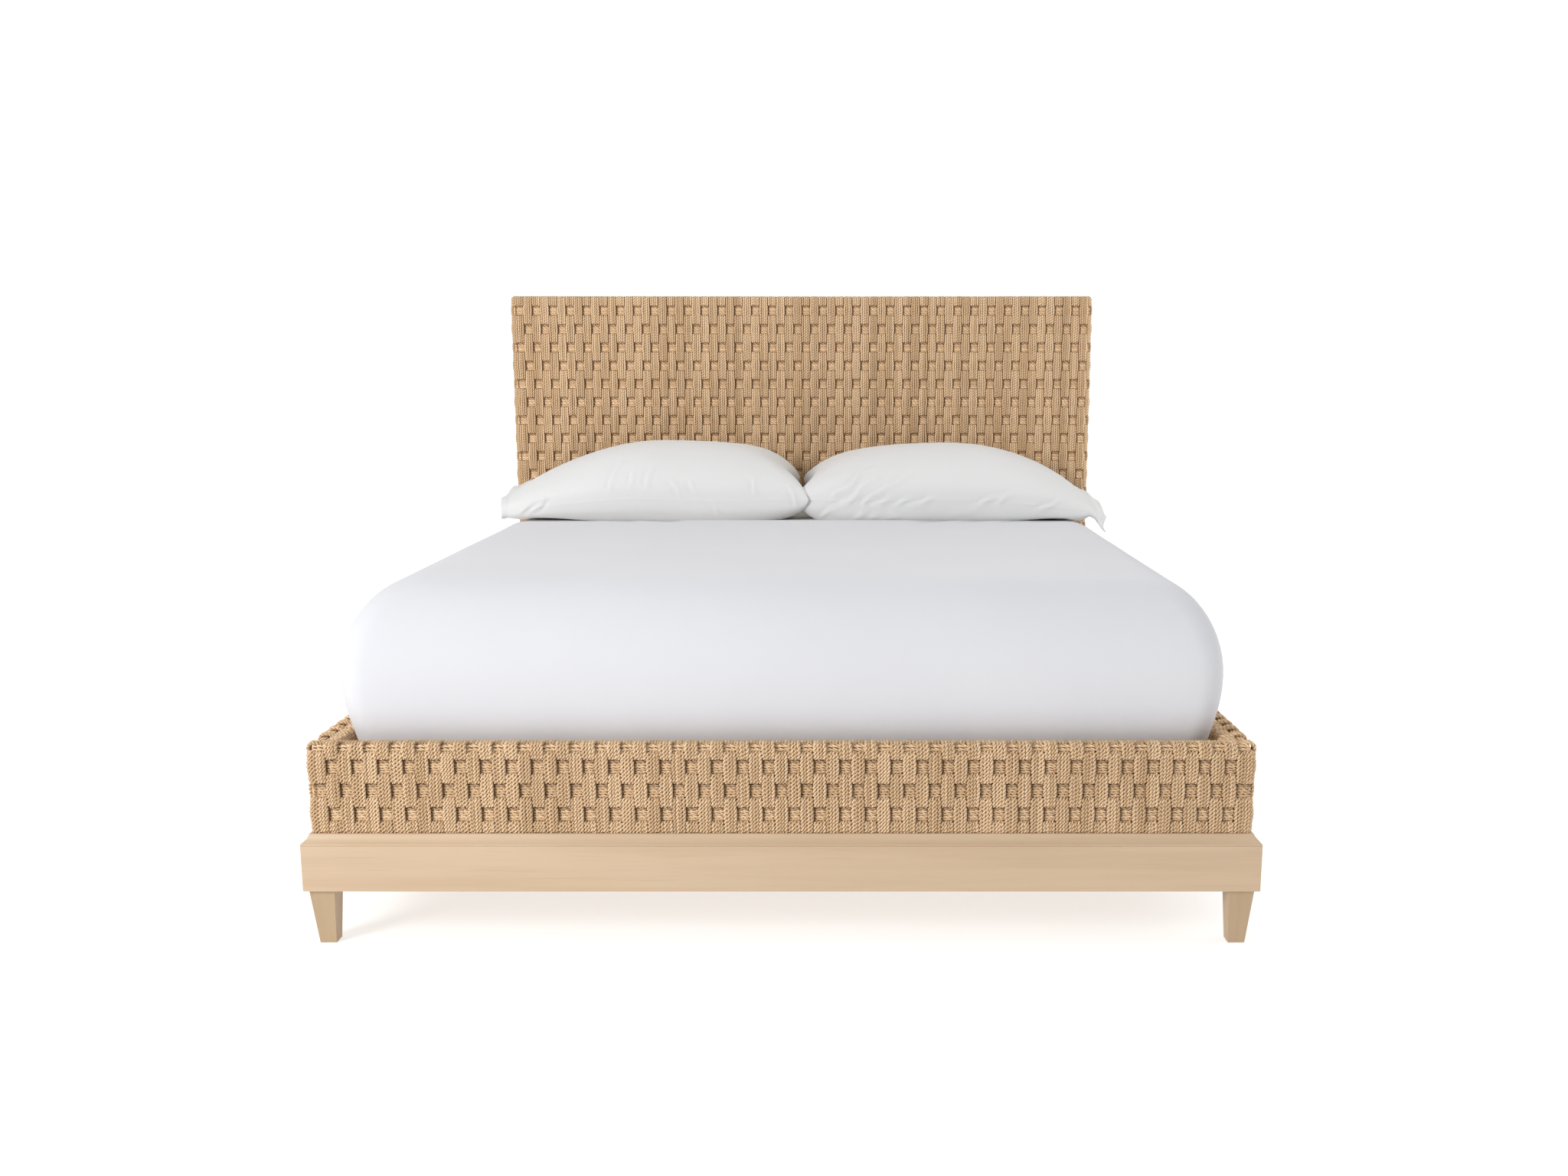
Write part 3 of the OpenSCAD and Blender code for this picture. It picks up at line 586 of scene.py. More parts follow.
# %% [markdown]
# ## Foot rail and side rails
# The rails carry three bands and a fourth that lies round the top edge, so one path passes over
# that band and the other beneath it. The foot rail is the nearest part of the weave, so its
# ropes are really twisted. The side rails are seen at a slant and get drawn strokes.

# %% Rail paths
rail_group = 0.028
rail_first, rail_step = 0.048, 0.054
foot_low, foot_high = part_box("foot_rail_warp")
rail_top = foot_high.z
rail_bottom = foot_low.z
rail_depth = foot_high.y - foot_low.y
rail_inner_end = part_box("slats")[1].z - 0.016
rail_rows = band_rows(rail_top, rail_first, rail_step, rail_bottom)
over_edge = ((0.0024, -0.0150), (0.0030, -0.0095), (0.0058, -0.0042), (0.0105, -0.0013),
             (0.0160, -0.0007), (0.0240, -0.0008), (0.0310, -0.0045), (0.0380, -0.0066))
under_edge = ((0.0040, -0.0275), (0.0052, -0.0225), (0.0090, -0.0195), (0.0215, -0.0160),
              (0.0272, -0.0125), (0.0310, -0.0082), (0.0360, -0.0066))
top_strands = ((0.0092, -0.0142), (0.0142, -0.0086), (0.0212, -0.0080))
top_lift = 0.0035


def rail_path(phase):
    """Up the outer face, over or under the band along the top edge, and down inside."""
    edge = over_edge if phase == 1 else under_edge
    inner = rail_depth - rope_radius + 0.0008
    fall = ((inner - 0.008, -0.0066), (inner - 0.003, -0.0082), (inner, -0.0140))
    top = [(depth, rail_top + drop + top_lift, 0) for depth, drop in (*edge, *fall)]
    return climb(rail_rows, phase, rail_bottom) + top + [(inner, rail_inner_end, 0)]


def level_path(half, phase, group, wrap=None, amplitude=0.0009):
    """One level rope: it swells where it shows, sinks where a group lies over it, and is in
    the shade beside the groups, most of all on the right of one."""
    front = []
    for i in range(round(2 * half / group)):
        shows = (i + phase) % 2 == 1
        stations = ((0.08, 0.2, 1.0), (0.30, 1, 0.2), (0.78, 1, 0.0), (0.94, 0.2, 0.6))
        for share, swell, low in stations if shows else ((0.5, -1, 1.0),):
            front.append((-half + group * (i + share), band_depth - amplitude * swell, low))
    if wrap is None:
        return [(-half, band_depth, 0)] + front + [(half, band_depth, 0)]
    out = weave_depth - band_depth
    arc = [(half + out * math.sin(a), weave_depth - out * math.cos(a), 0.3)
           for a in (0.0, 0.4, 0.8, 1.2, math.pi / 2)]
    right = arc + [(half + out, wrap, 0.3)]
    left = [(-x, y, low) for x, y, low in reversed(right)]
    return left + front + right


print("rail rows:", [round(z, 4) for z in rail_rows])

# %% Ropes of a straight run
group_fill = 0.955
group_spread = 0.0007
level_pitch = 0.0059
level_drop = 0.0008


def upright_paths(path):
    return [[(0, depth, z, stood_out(depth), low) for depth, z, low in path(phase)]
            for phase in (0, 1)]


def run_of_uprights(name, length, group, path, place, pieces, first=0, **inputs):
    """Groups of four upright ropes along a member, cut into pieces of whole groups."""
    count = round(length / group)
    pitch = length / count
    strand = pitch / 4 * group_fill
    made = []
    for k in range(pieces):
        a, b = round(count * k / pieces), round(count * (k + 1) / pieces)
        start = -length / 2 + a * pitch + pitch / 2 - strand * 1.5
        shift = Matrix.Translation((start, 0, 0))
        made.append(rope_piece(f"{name}_{k + 1}" if pieces > 1 else name, upright_paths(path),
                               (0, 1), place @ shift, Groups=b - a, First_group=a + first,
                               Strands=4, Group_step=(pitch, 0, 0),
                               Strand_step=(strand, 0, 0), Across=(1, 0, 0),
                               Spread=group_spread, Seed=11 + a, **inputs))
    return made


def run_of_levels(name, paths, rows, place, **inputs):
    """Five level ropes in each band, from the highest row down."""
    lines = [[(x, y, 0, 0, low) for x, y, low in path] for path in paths]
    step = rows[0] - rows[1]
    shift = Matrix.Translation((0, 0, rows[0] + 2 * level_pitch - level_drop))
    return rope_piece(name, lines, (0, 1), place @ shift, Groups=len(rows), Strands=5,
                      Group_step=(0, 0, -step), Strand_step=(0, 0, -level_pitch),
                      Across=(0, 0, 1), Seed=5, **inputs)


def top_band(name, length, group, place, **inputs):
    """Three level ropes round the top edge, which swell between the groups that pass over."""
    lines = []
    for depth, drop in top_strands:
        line = level_path(length / 2, 1, group, amplitude=0.0007)
        lines.append([(x, depth, rail_top + top_lift + drop + band_depth - y, 0, low * 0.45)
                      for x, y, low in line])
    return rope_piece(name, lines, (0, 0, 0), place, Groups=1, Strands=1,
                      Across=(0, 0.7, 0.7), Seed=9, **inputs)


laid = {"Turns_per_metre": 1 / lay_length, "Spacing": lay_length / 8, "Sides": 6,
        "Radius": 0.0049, "Waist": 0.40, "Material": rope_near}
laid_level = {**laid, "Turns_per_metre": 0.67 / lay_length, "Spacing": lay_length / 5.4,
              "Radius": 0.0042, "Material": rope_near_level}
drawn = {"Spacing": 0.0, "Sides": 5, "Radius": rope_radius, "Waist": 1.0,
         "Material": rope_far}
drawn_level = {**drawn, "Radius": 0.0035, "Material": rope_far_level}
print("laid ropes get a ring every", round(1000 * laid["Spacing"], 2), "mm")

# %% [markdown]
# ## Corners and end faces
# At an end of the foot rail or the headboard the weave turns the corner. A few upright ropes
# stand on the round of the corner and the rest cover the end face. They follow the same climb,
# only measured outwards from the corner instead of from the front, and fold in over the top.

# %% Ropes on a corner and an end face
corner_angles = (14, 44, 74)
end_pitch = 0.0068


def end_bases(half, depth_end, side):
    """Where each rope stands: x, y, outward x, outward y, and the number of its group."""
    bases = []
    for angle in corner_angles:
        a = math.radians(angle)
        bases.append((side * half, weave_depth, side * math.sin(a), -math.cos(a), 0))
    length = depth_end - weave_depth
    count = max(4, round(length / end_pitch))
    for i in range(count):
        y = weave_depth + length * (i + 0.5) / count
        bases.append((side * half, y, side, 0, 1 + (i >= count / 2)))
    return bases


def end_paths(half, depth_end, side, path, first, fold):
    """The path of each, measured outwards from the corner and folded in over the top edge."""
    paths = []
    for x, y, out_x, out_y, group in end_bases(half, depth_end, side):
        points = []
        for depth, z, low in path((first + group) % 2):
            out = weave_depth - depth
            if out < -fold:
                points.append((x - out_x * fold, y - out_y * fold, points[-1][2] - 0.002))
                break
            sink = min(0.003, max(0, -out) * 0.3)
            points.append((x + out_x * out, y + out_y * out, z - sink, 0, low))
        paths.append(points)
    return paths


def end_piece(name, half, depth_end, path, first, place, fold=0.026, **inputs):
    paths = []
    for side in (-1, 1):
        paths += end_paths(half, depth_end, side, path, first, fold)
    return rope_piece(name, paths, [0] * len(paths), place, Groups=1, Strands=1,
                      Across=(0.7, 0.7, 0), Seed=3, **inputs)


print("ropes on a rail's corner and end face:", len(end_bases(1, rail_depth - layer, 1)))

# %% Foot rail
core_low, core_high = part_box("foot_rail_core")
foot_place = Matrix.Translation((0, foot_low.y, 0))
foot_half = (core_high.x - core_low.x) / 2
foot_group = 2 * foot_half / round(2 * foot_half / rail_group)
foot_turn = rail_depth - layer
foot_ropes = run_of_uprights("foot_uprights", 2 * foot_half, rail_group, rail_path, foot_place, 4,
                             **laid)
foot_ropes.append(end_piece("foot_ends", foot_half, foot_turn, rail_path, 0, foot_place, **laid))
foot_paths = [level_path(foot_half, phase, foot_group, foot_turn) for phase in (0, 1)]
foot_levels = [run_of_levels("foot_levels", foot_paths, rail_rows, foot_place, **laid_level),
               top_band("foot_top_band", 2 * foot_half, foot_group, foot_place, **laid_level)]


def wear_weave(ropes, levels, warp, weft):
    for obj in ropes:
        wear(obj, "bed_frame", warp)
    for obj in levels:
        wear(obj, "bed_frame", weft)


wear_weave(foot_ropes, foot_levels, "foot_rail_warp", "foot_rail_weft")

# %% Side rails
side_low, side_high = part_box("side_rail_core_left")
side_length = side_high.y - side_low.y
side_mid = (side_high.y + side_low.y) / 2
side_group = side_length / round(side_length / rail_group)
side_paths = [level_path(side_length / 2, phase, side_group) for phase in (0, 1)]
for side, word in ((-1, "left"), (1, "right")):
    shift = Matrix.Translation((side * foot_high.x, side_mid, 0))
    place = shift @ Matrix.Rotation(side * math.pi / 2, 4, "Z")
    ropes = run_of_uprights(f"side_uprights_{word}", side_length, rail_group, rail_path, place, 1,
                            **drawn)
    levels = [run_of_levels(f"side_levels_{word}", side_paths, rail_rows, place, **drawn_level),
              top_band(f"side_top_band_{word}", side_length, side_group, place, **drawn_level)]
    wear_weave(ropes, levels, f"side_rail_warp_{word}", f"side_rail_weft_{word}")

# %% [markdown]
# ## Headboard
# The headboard has the same weave with taller rows, and no band along its top. Its ropes stop
# above the board that the rails meet, wrap over the top edge and run straight down the back.

# %% Headboard paths
head_low, head_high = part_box("headboard_warp")
head_top = head_high.z
head_depth = head_high.y - head_low.y
head_back = head_depth - rope_radius
head_first, head_step = 0.050, 0.0627
head_width = 0.0292
head_rows = band_rows(head_top, head_first, head_step, rail_top)


def head_path(phase):
    """Up the front, with the last stretch a little lower where the rope is under a band."""
    low = 0.0062 if phase == 0 else 0.0048
    edge = ((0.0062, -0.0260), (0.0058, -0.0130), (0.0078, -0.0075), (0.0120, -low),
            (0.0200, -0.0046), (head_back - 0.009, -0.0046), (head_back - 0.003, -0.0065),
            (head_back, -0.0130))
    return climb(head_rows, phase, rail_top) + [(d, head_top + drop, 0) for d, drop in edge]


print("headboard rows:", len(head_rows))

# %% Headboard ropes
head_place = Matrix.Translation((0, head_low.y, 0))
head_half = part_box("headboard_front_panel")[1].x
head_count = round(2 * head_half / head_width)
head_group = 2 * head_half / head_count
head_turn = head_depth - layer
head_ropes = run_of_uprights("head_uprights", 2 * head_half, head_width, head_path, head_place, 2,
                             first=1, **drawn)
back_path = [(0, head_back, z)
             for z in (head_top - 0.012, (head_top + head_low.z) / 2, head_low.z)]
back_shift = Matrix.Translation((-head_half + head_group / 8, 0, 0))
head_ropes.append(rope_piece("head_back_ropes", [back_path], (0,), head_place @ back_shift,
                             Groups=1, Strands=4 * head_count,
                             Strand_step=(head_group / 4, 0, 0), Seed=21, **drawn))
head_ropes.append(end_piece("head_ends", head_half, head_turn, head_path, 1, head_place, **drawn))
head_paths = [level_path(head_half, phase, head_group, head_turn) for phase in (1, 0)]
head_levels = [run_of_levels("head_levels", head_paths, head_rows, head_place, **drawn_level)]
wear_weave(head_ropes, head_levels, "headboard_warp", "headboard_weft")

# %% [markdown]
# ## Pale wood
# Plinth, cap and legs are a light hardwood under a thin milky stain. The grain is straight and
# faint, and runs along each board. The finish stretches noise along one axis, so there is one
# finish for boards along X, one along Y and one for the upright legs. The legs' finish is also
# darker and warmer: painted shade.

# %% Wood finish
along_scale = 1.3
across_scale = 26.0


def wood_finish(name, axis, light, dark, roughness=0.45, contrast=1.0):
    """Streaks along the axis, short pores across them, and a slow change of tone."""
    finish = Finish(name, roughness=roughness)
    scale = [along_scale if i == axis else across_scale for i in range(3)]
    fine = [s * (4 if i == axis else 9) for i, s in enumerate(scale)]
    grain = finish.noise(finish.place(scale), 1.0, 5.0, 0.62)
    pores = finish.noise(finish.place(fine), 1.0, 2.0, 0.5)
    cloud = finish.noise(finish.place(), 2.6, 2.0)
    streak = finish.smooth(grain, 0.35, 0.70)
    tone = finish.mix(streak * (0.55 * contrast), (*light, 1), (*dark, 1))
    tone = finish.mix(finish.smooth(cloud, 0.3, 0.75) * 0.35, tone,
                      (light[0] * 0.93, light[1] * 0.90, light[2] * 0.87, 1))
    fleck = finish.smooth(pores, 0.62, 0.78) * (0.22 * contrast)
    finish.feed("Base Color", finish.mix(fleck, tone, (*[c * 0.72 for c in dark], 1)))
    finish.feed("Roughness", streak * 0.10 + (roughness - 0.04))
    finish.bump(grain * 0.6 + pores * 0.4, strength=0.25, distance=0.0004)
    return finish.material


pale_light = (0.57, 0.425, 0.297)
pale_dark = (0.467, 0.327, 0.214)
# the third tint makes the legs darker than the boards: painted shade
pale_tints_and_leg_shade = ((1, 1, 0.96), (1, 1, 0.96), (0.80, 0.775, 0.69))
pale_wood = [wood_finish(f"pale_wood_{'xyz'[i]}", i, [c * t for c, t in zip(pale_light, tint)],
                         [c * t for c, t in zip(pale_dark, tint)])
             for i, tint in enumerate(pale_tints_and_leg_shade)]
print("wood finishes:", [m.name for m in pale_wood])

# %% [markdown]
# ## Softened edges
# Real boards have their sharp edges sanded off. The CAD solid gives the exact shape, so the
# piece is a copy of it: its loose triangles are merged, flat areas joined, and a small bevel
# runs round every edge. The bevel catches the light as the real edge does.

# %% Boards, cap and legs
bevel_width = 0.0012
sharp_angle = math.radians(25)
boards = {"plinth_front": 0, "plinth_rear": 0, "plinth_left": 1, "plinth_right": 1,
          "cap_front": 0, "cap_rear": 0, "cap_left": 1, "cap_right": 1,
          "leg_front_left": 2, "leg_front_right": 2, "leg_rear_left": 2, "leg_rear_right": 2}


def eased_copy(node, material):
    source = nodes[node]
    mesh = bpy.data.meshes.new(f"{node}_eased")
    work = bmesh.new()
    work.from_mesh(source.data)
    bmesh.ops.transform(work, matrix=source.matrix_world, verts=work.verts)
    bmesh.ops.remove_doubles(work, verts=work.verts, dist=1e-5)
    bmesh.ops.dissolve_limit(work, angle_limit=math.radians(0.5), verts=work.verts,
                             edges=work.edges)
    sharp = [e for e in work.edges if e.is_manifold and e.calc_face_angle(0) > sharp_angle]
    bmesh.ops.bevel(work, geom=sharp, offset=bevel_width, segments=2, profile=0.5,
                    affect="EDGES", clamp_overlap=True)
    bmesh.ops.recalc_face_normals(work, faces=work.faces)
    for face in work.faces:
        face.smooth = True
    work.to_mesh(mesh)
    work.free()
    mesh.materials.append(material)
    obj = put_in_scene(f"{node}_eased", mesh)
    obj.modifiers.new("normals", "WEIGHTED_NORMAL").keep_sharp = True
    plain(obj)
    return obj


for node, axis in boards.items():
    wear(eased_copy(node, pale_wood[axis]), "bed_frame", node)
print("eased boards and legs:", len(boards))

# %% [markdown]
# ## What nobody sees
# Blocks, ledgers, slats and panels keep their CAD shapes. They are plain pine and plywood with a
# stronger grain, the fasteners are zinc-plated steel, and the centre legs stand on felt.

# %% Hidden timber, steel and felt
pine_light, pine_dark = (0.74, 0.56, 0.33), (0.52, 0.33, 0.15)
pine = [wood_finish(f"pine_{'xyz'[i]}", i, pine_light, pine_dark, 0.62, 1.4) for i in range(3)]
ply = wood_finish("plywood_face", 2, (0.62, 0.46, 0.27), (0.45, 0.30, 0.15), 0.6, 1.2)


def steel_finish():
    finish = Finish("zinc_steel", roughness=0.42, Metallic=1.0)
    cloud = finish.noise(finish.place(), 160.0, 3.0)
    finish.feed("Base Color", finish.ramp(cloud, (0.3, (0.50, 0.51, 0.53)),
                                          (0.7, (0.66, 0.66, 0.64))))
    finish.feed("Roughness", cloud * 0.25 + 0.28)
    return finish.material


def felt_finish():
    finish = Finish("felt", roughness=0.95)
    fuzz = finish.noise(finish.place(), 700.0, 3.0)
    finish.feed("Base Color", finish.ramp(fuzz, (0.3, (0.05, 0.045, 0.04)),
                                          (0.7, (0.11, 0.10, 0.09))))
    finish.bump(fuzz, strength=0.6, distance=0.0008)
    return finish.material


steel, felt = steel_finish(), felt_finish()


def hidden_finish(name):
    """Metal, felt, plywood and stained pine by name; plain pine has its grain along the piece."""
    if name.endswith(("bolts", "screws", "hangers")):
        return steel
    if name == "centre_leg_glides":
        return felt
    if name.endswith("_panel"):
        return ply
    if name == "headboard_apron":
        return pale_wood[0]
    if name == "slats":
        return pine[0]
    low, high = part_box(name)
    return pine[max(range(3), key=lambda i: (high - low)[i])]


finished = [name for name in frame["record"]["behaviour"]["bodies"]["bed_frame"]
            if "warp" not in name and "weft" not in name and nodes[name].data is not None]
for name in finished:
    nodes[name].data.materials.clear()
    nodes[name].data.materials.append(hidden_finish(name))
print("nodes with their CAD shape finished:", len(finished))

# %% [markdown]
# ## Cotton
# Bed linen is matt with a soft sheen at grazing angles. The weave is finer than the photo can
# show, so it is only a trace of bump, with a slow change of tone that keeps large areas alive.

# %% Cotton finish
thread_pitch = 0.0016


def cotton_finish(name, colour, shade, crease):
    finish = Finish(name, roughness=0.85, Sheen_Weight=0.18, Sheen_Roughness=0.5)
    spot = finish.place()
    x, y, z = (finish.add("ShaderNodeSeparateXYZ", values={0: spot}, out=axis)
               for axis in "XYZ")
    thread = 2 * math.pi / thread_pitch
    weave = ((x + z) * thread).math("SINE") * ((y + z) * thread).math("SINE")
    cloud = finish.noise(spot, 2.2, 2.0)
    crumple = finish.noise(spot, 14.0, 4.0, 0.55)
    finish.feed("Base Color", finish.mix(finish.smooth(cloud, 0.3, 0.75), (*colour, 1),
                                         (*shade, 1)))
    finish.bump(weave * 0.05 + crumple * crease, strength=0.5, distance=0.004)
    return finish.material


cover_cotton = cotton_finish("cover_cotton", (0.665, 0.668, 0.695), (0.645, 0.648, 0.68), 0.10)
sheet_cotton = cotton_finish("sheet_cotton", (0.80, 0.78, 0.75), (0.77, 0.75, 0.72), 0.2)
case_cotton = cotton_finish("case_cotton", (0.76, 0.76, 0.757), (0.74, 0.74, 0.737), 0.35)
ticking = cotton_finish("ticking", (0.80, 0.79, 0.76), (0.77, 0.76, 0.73), 0.2)
print("cotton finishes:", cover_cotton.name, sheet_cotton.name, case_cotton.name, ticking.name)

# %% [markdown]
# ## Mattress, sheet and cover
# The made-up mattress is a large soft block: flat on top, round over its long edges, widest
# above the rails and drawn in where it is tucked behind them. It is lofted from rounded
# rectangles, one for each height of its section. The sheet and the cover are the same block a
# little larger, opened where their hems are and given the thickness of cloth.

# %% The soft block
mattress_low, mattress_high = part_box("mattress")
swell = 0.014
tuck = 0.014
edge_width, edge_height = 0.138, 0.200
corner_radius = 0.060
top_crown = 0.004
top_shares = (0.93, 0.84, 0.72, 0.58, 0.42, 0.26, 0.12)
block_half = mattress_high.x - swell
block_front = mattress_low.y + swell
block_back = mattress_high.y
block_height = mattress_high.z - mattress_low.z


def block_section():
    """(height, inset, outward direction) up the side, from the base to the flat top."""
    rise = block_height - edge_height
    points = []
    for i in range(9):
        t = i / 8
        points.append((rise * t, tuck - (tuck + swell) * math.sin(math.pi / 2 * t), 0.0))
    for i in range(1, 15):
        a = math.pi / 2 * i / 14
        points.append((block_height - edge_height * (1 - math.sin(a)),
                       edge_width * (1 - math.cos(a)) - swell, a))
    return points


def block_ring(height, inset, angle, grow):
    """One rounded rectangle of the block, as points round it."""
    radius = corner_radius + grow * math.cos(angle)
    x = block_half - inset - corner_radius
    front = block_front + inset + corner_radius
    back = block_back - max(inset, 0) - corner_radius
    z = mattress_low.z + height + grow * math.sin(angle)
    ring = []
    corners = [(x, back, 0), (-x, back, 90), (-x, front, 180), (x, front, 270)]
    for k, (cx, cy, start) in enumerate(corners):
        for i in range(9):
            a = math.radians(start + 90 * i / 8)
            ring.append((cx + radius * math.cos(a), cy + radius * math.sin(a), z))
        nx, ny = corners[(k + 1) % 4][:2]
        a = math.radians(start + 90)
        p = (cx + radius * math.cos(a), cy + radius * math.sin(a))
        q = (nx + radius * math.cos(a), ny + radius * math.sin(a))
        for i in range(1, 40):
            ring.append((p[0] + (q[0] - p[0]) * i / 40, p[1] + (q[1] - p[1]) * i / 40, z))
    return ring


def block_mesh(name, grow, closed):
    """Rings up the side, then smaller and smaller ones on the slightly crowned top."""
    rings = [block_ring(h, inset, a, grow) for h, inset, a in block_section()]
    middle_y = (block_front + block_back) / 2
    top = rings[-1]
    for share in top_shares:
        lift = top_crown * (1 - share ** 2)
        rings.append([(x * share, middle_y + (y - middle_y) * share, z + lift)
                      for x, y, z in top])
    n = len(top)
    points = [p for ring in rings for p in ring]
    faces = [(k * n + i, k * n + (i + 1) % n, (k + 1) * n + (i + 1) % n, (k + 1) * n + i)
             for k in range(len(rings) - 1) for i in range(n)]
    faces.append(tuple(range((len(rings) - 1) * n, len(rings) * n)))
    if closed:
        faces.append(tuple(reversed(range(n))))
    mesh = bpy.data.meshes.new(name)
    mesh.from_pydata(points, [], faces)
    return put_in_scene(name, mesh)


def dress(obj, material, body, node):
    """Gives a soft piece its finish and smooth shading, and says what it stands for."""
    obj.data.materials.append(material)
    for polygon in obj.data.polygons:
        polygon.use_smooth = True
    wear(obj, body, node)


def cloth_area(obj):
    return sum(p.area for p in obj.data.polygons)


print("rings up the side of the block:", len(block_section()))

# %% Mattress
mattress = block_mesh("mattress_body", 0.0, True)
dress(mattress, ticking, "mattress_set", "mattress")
print("mattress faces:", len(mattress.data.polygons))

# %% [markdown]
# ## Cloth from the block
# A sheet of cloth starts as the open skin of the block, and Solidify gives it thickness with
# closed rims. Its area is measured before that, for the size it was cut to. The cover is also
# cut off behind its rear edge, and gentle dents keep it from looking machined.

# %% Fitted sheet and top cover
def press(obj, amount, seed, rear):
    """Slow dents, under two millimetres deep and always inwards, that fade towards the hems."""
    for v in obj.data.vertices:
        slow = noise.noise(v.co * 2.6 + Vector((seed, 0, 0)))
        fine = noise.noise(v.co * 9.0 + Vector((0, seed, 0)))
        depth = amount * (0.5 + 0.5 * slow) + amount * 0.25 * fine
        fade = min(1, (v.co.z - mattress_low.z) / 0.05, (rear - v.co.y) / 0.15)
        v.co -= v.normal * max(depth, 0) * max(fade, 0)


def cut_behind(obj, y):
    work = bmesh.new()
    work.from_mesh(obj.data)
    bmesh.ops.bisect_plane(work, geom=work.verts[:] + work.edges[:] + work.faces[:],
                           plane_co=(0, y, 0), plane_no=(0, 1, 0), clear_outer=True)
    work.to_mesh(obj.data)
    work.free()


def thicken(obj, thickness, offset):
    """Gives cloth its thickness, and returns the area that it had before."""
    area = cloth_area(obj)
    shell = obj.modifiers.new("thickness", "SOLIDIFY")
    shell.thickness = thickness
    shell.offset = offset
    plain(obj)
    print(obj.name, "area:", round(area, 3))
    return round(area, 3)


cover_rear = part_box("top_cover")[1].y
sheet_gap, sheet_thick, cover_thick = 0.0004, 0.0014, 0.0035
cover_dents = 0.0015
fitted = block_mesh("fitted_cloth", sheet_gap, False)
fitted_area = thicken(fitted, sheet_thick, 1.0)
dress(fitted, sheet_cotton, "mattress_set", "fitted_sheet")
cover = block_mesh("cover_cloth", sheet_gap * 2 + sheet_thick + 0.002, False)
cut_behind(cover, cover_rear)
press(cover, cover_dents, 3.0, cover_rear)
cover_area = thicken(cover, cover_thick, 1.0)
dress(cover, cover_cotton, "mattress_set", "top_cover")

# %% [markdown]
# ## Pillows
# Each pillow lies on the sheet with a seam at mid height all round it. Feathers fill its middle
# and thin out towards the outer end, where its case is longer than the pillow and the open hem
# hangs over the round edge of the mattress. The shape is two grids, top and underside, that
# meet in the seam; the hem is the same grids carried on. The two pillows differ a little.

# %% Looks of the two pillows
pillow_low, pillow_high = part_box("pillow_left")
pillow_half = (pillow_high.x - pillow_low.x) / 2
pillow_deep = (pillow_high.y - pillow_low.y) / 2
pillow_rest = pillow_low.z
seam_front, seam_back, seam_drop = 0.066, 0.094, 0.034
pillow_looks = {
    "left": {"outer": (2.0, 0.95), "inner": (3.6, 0.44), "rise": 0.229, "tube": 0.032,
             "droop": (0.35, 0.00), "hem": 0.028, "folds": 0.0012, "seed": 1.0,
             "front": 0.402, "ear": 0.042, "round": (0.00, 0.10), "fall": 0.10, "lift": 0.010,
             "creases": ((0.095, 0.182, 0.120, 0.099), (-0.008, 0.166, 0.004, 0.104),
                         (-0.069, 0.132, -0.100, 0.082), (-0.130, 0.127, -0.155, 0.088),
                         (-0.332, 0.132, -0.330, 0.088), (0.406, 0.032, 0.315, 0.077),
                         (0.370, 0.030, 0.325, 0.065), (-0.440, 0.110, -0.465, 0.055),
                         (0.045, 0.150, 0.060, 0.110), (-0.200, 0.060, -0.215, 0.025))},
    "right": {"outer": (2.7, 0.90), "inner": (2.7, 0.56), "rise": 0.221, "tube": 0.021,
              "droop": (0.85, 0.35), "hem": 0.086, "folds": 0.0012, "seed": 7.0,
              "front": 0.380, "ear": 0.014, "round": (0.15, 0.06), "fall": 0.14, "lift": 0.012,
              "creases": ((-0.358, 0.077, -0.230, 0.166), (-0.334, 0.054, -0.212, 0.143),
                          (-0.395, 0.016, -0.273, 0.082), (-0.297, 0.007, -0.181, 0.077),
                          (-0.242, 0.007, -0.127, 0.066), (-0.206, 0.004, -0.047, 0.077),
                          (-0.187, 0.110, -0.107, 0.143), (0.020, 0.021, 0.184, 0.088),
                          (0.160, 0.054, 0.190, 0.088), (-0.310, 0.110, -0.250, 0.170),
                          (-0.270, 0.050, -0.190, 0.110), (0.280, 0.030, 0.350, 0.070))},
}
print("a pillow is", round(2 * pillow_half, 3), "m by", round(2 * pillow_deep, 3), "m")

# %% [markdown]
# ## Surface of a pillow
# A point of the surface is found from two numbers: u runs along the pillow to its outer end, and
# v from its front seam to its back one. The crown rises between the seams and falls off towards
# the ends by powers, which are set for each pillow, as the photo shows two different outlines.

# %% Surface of a pillow
def crown_of(u, v, look, bow=2.8):
    power, root = look["outer"] if u > 0 else look["inner"]
    end = max(0, 1 - abs(u) ** power) ** root
    return end * max(0, 1 - abs(v) ** bow) ** 0.5


def seam_height(u, v):
    mid = (seam_front + seam_back) / 2 + v * (seam_back - seam_front) / 2
    return mid - seam_drop * max(0, u) ** 2


def corner_folds(x, y, look):
    """Creases that fan out from the seam's corners, with a crest every few centimetres."""
    total = 0
    for cx in (-pillow_half, pillow_half):
        for cy in (-pillow_deep, pillow_deep):
            dx, dy = x - cx, y - cy
            reach = math.hypot(dx, dy)
            turn = math.atan2(abs(dy), abs(dx)) * 9 + noise.noise((cx * 9, cy * 9, 0)) * 3
            wander = noise.noise(Vector((x, y, look["seed"])) * 7.0) * 1.6
            fade = math.exp(-((reach - 0.13) / 0.10) ** 2)
            total += math.sin(turn + wander) * fade
    return total * look["folds"]


def ease(t):
    t = min(1, max(0, t))
    return t * t * (3 - 2 * t)


def bed_gap(u, look):
    """How far the underside stands off the bed: nothing in the middle, a little further out,
    and at the hem it hangs past the round edge of the mattress."""
    rise = look["lift"] * ease((u - 0.30) / 0.45)
    return rise - (rise + 0.004) * ease((u - 0.80) / 0.20)


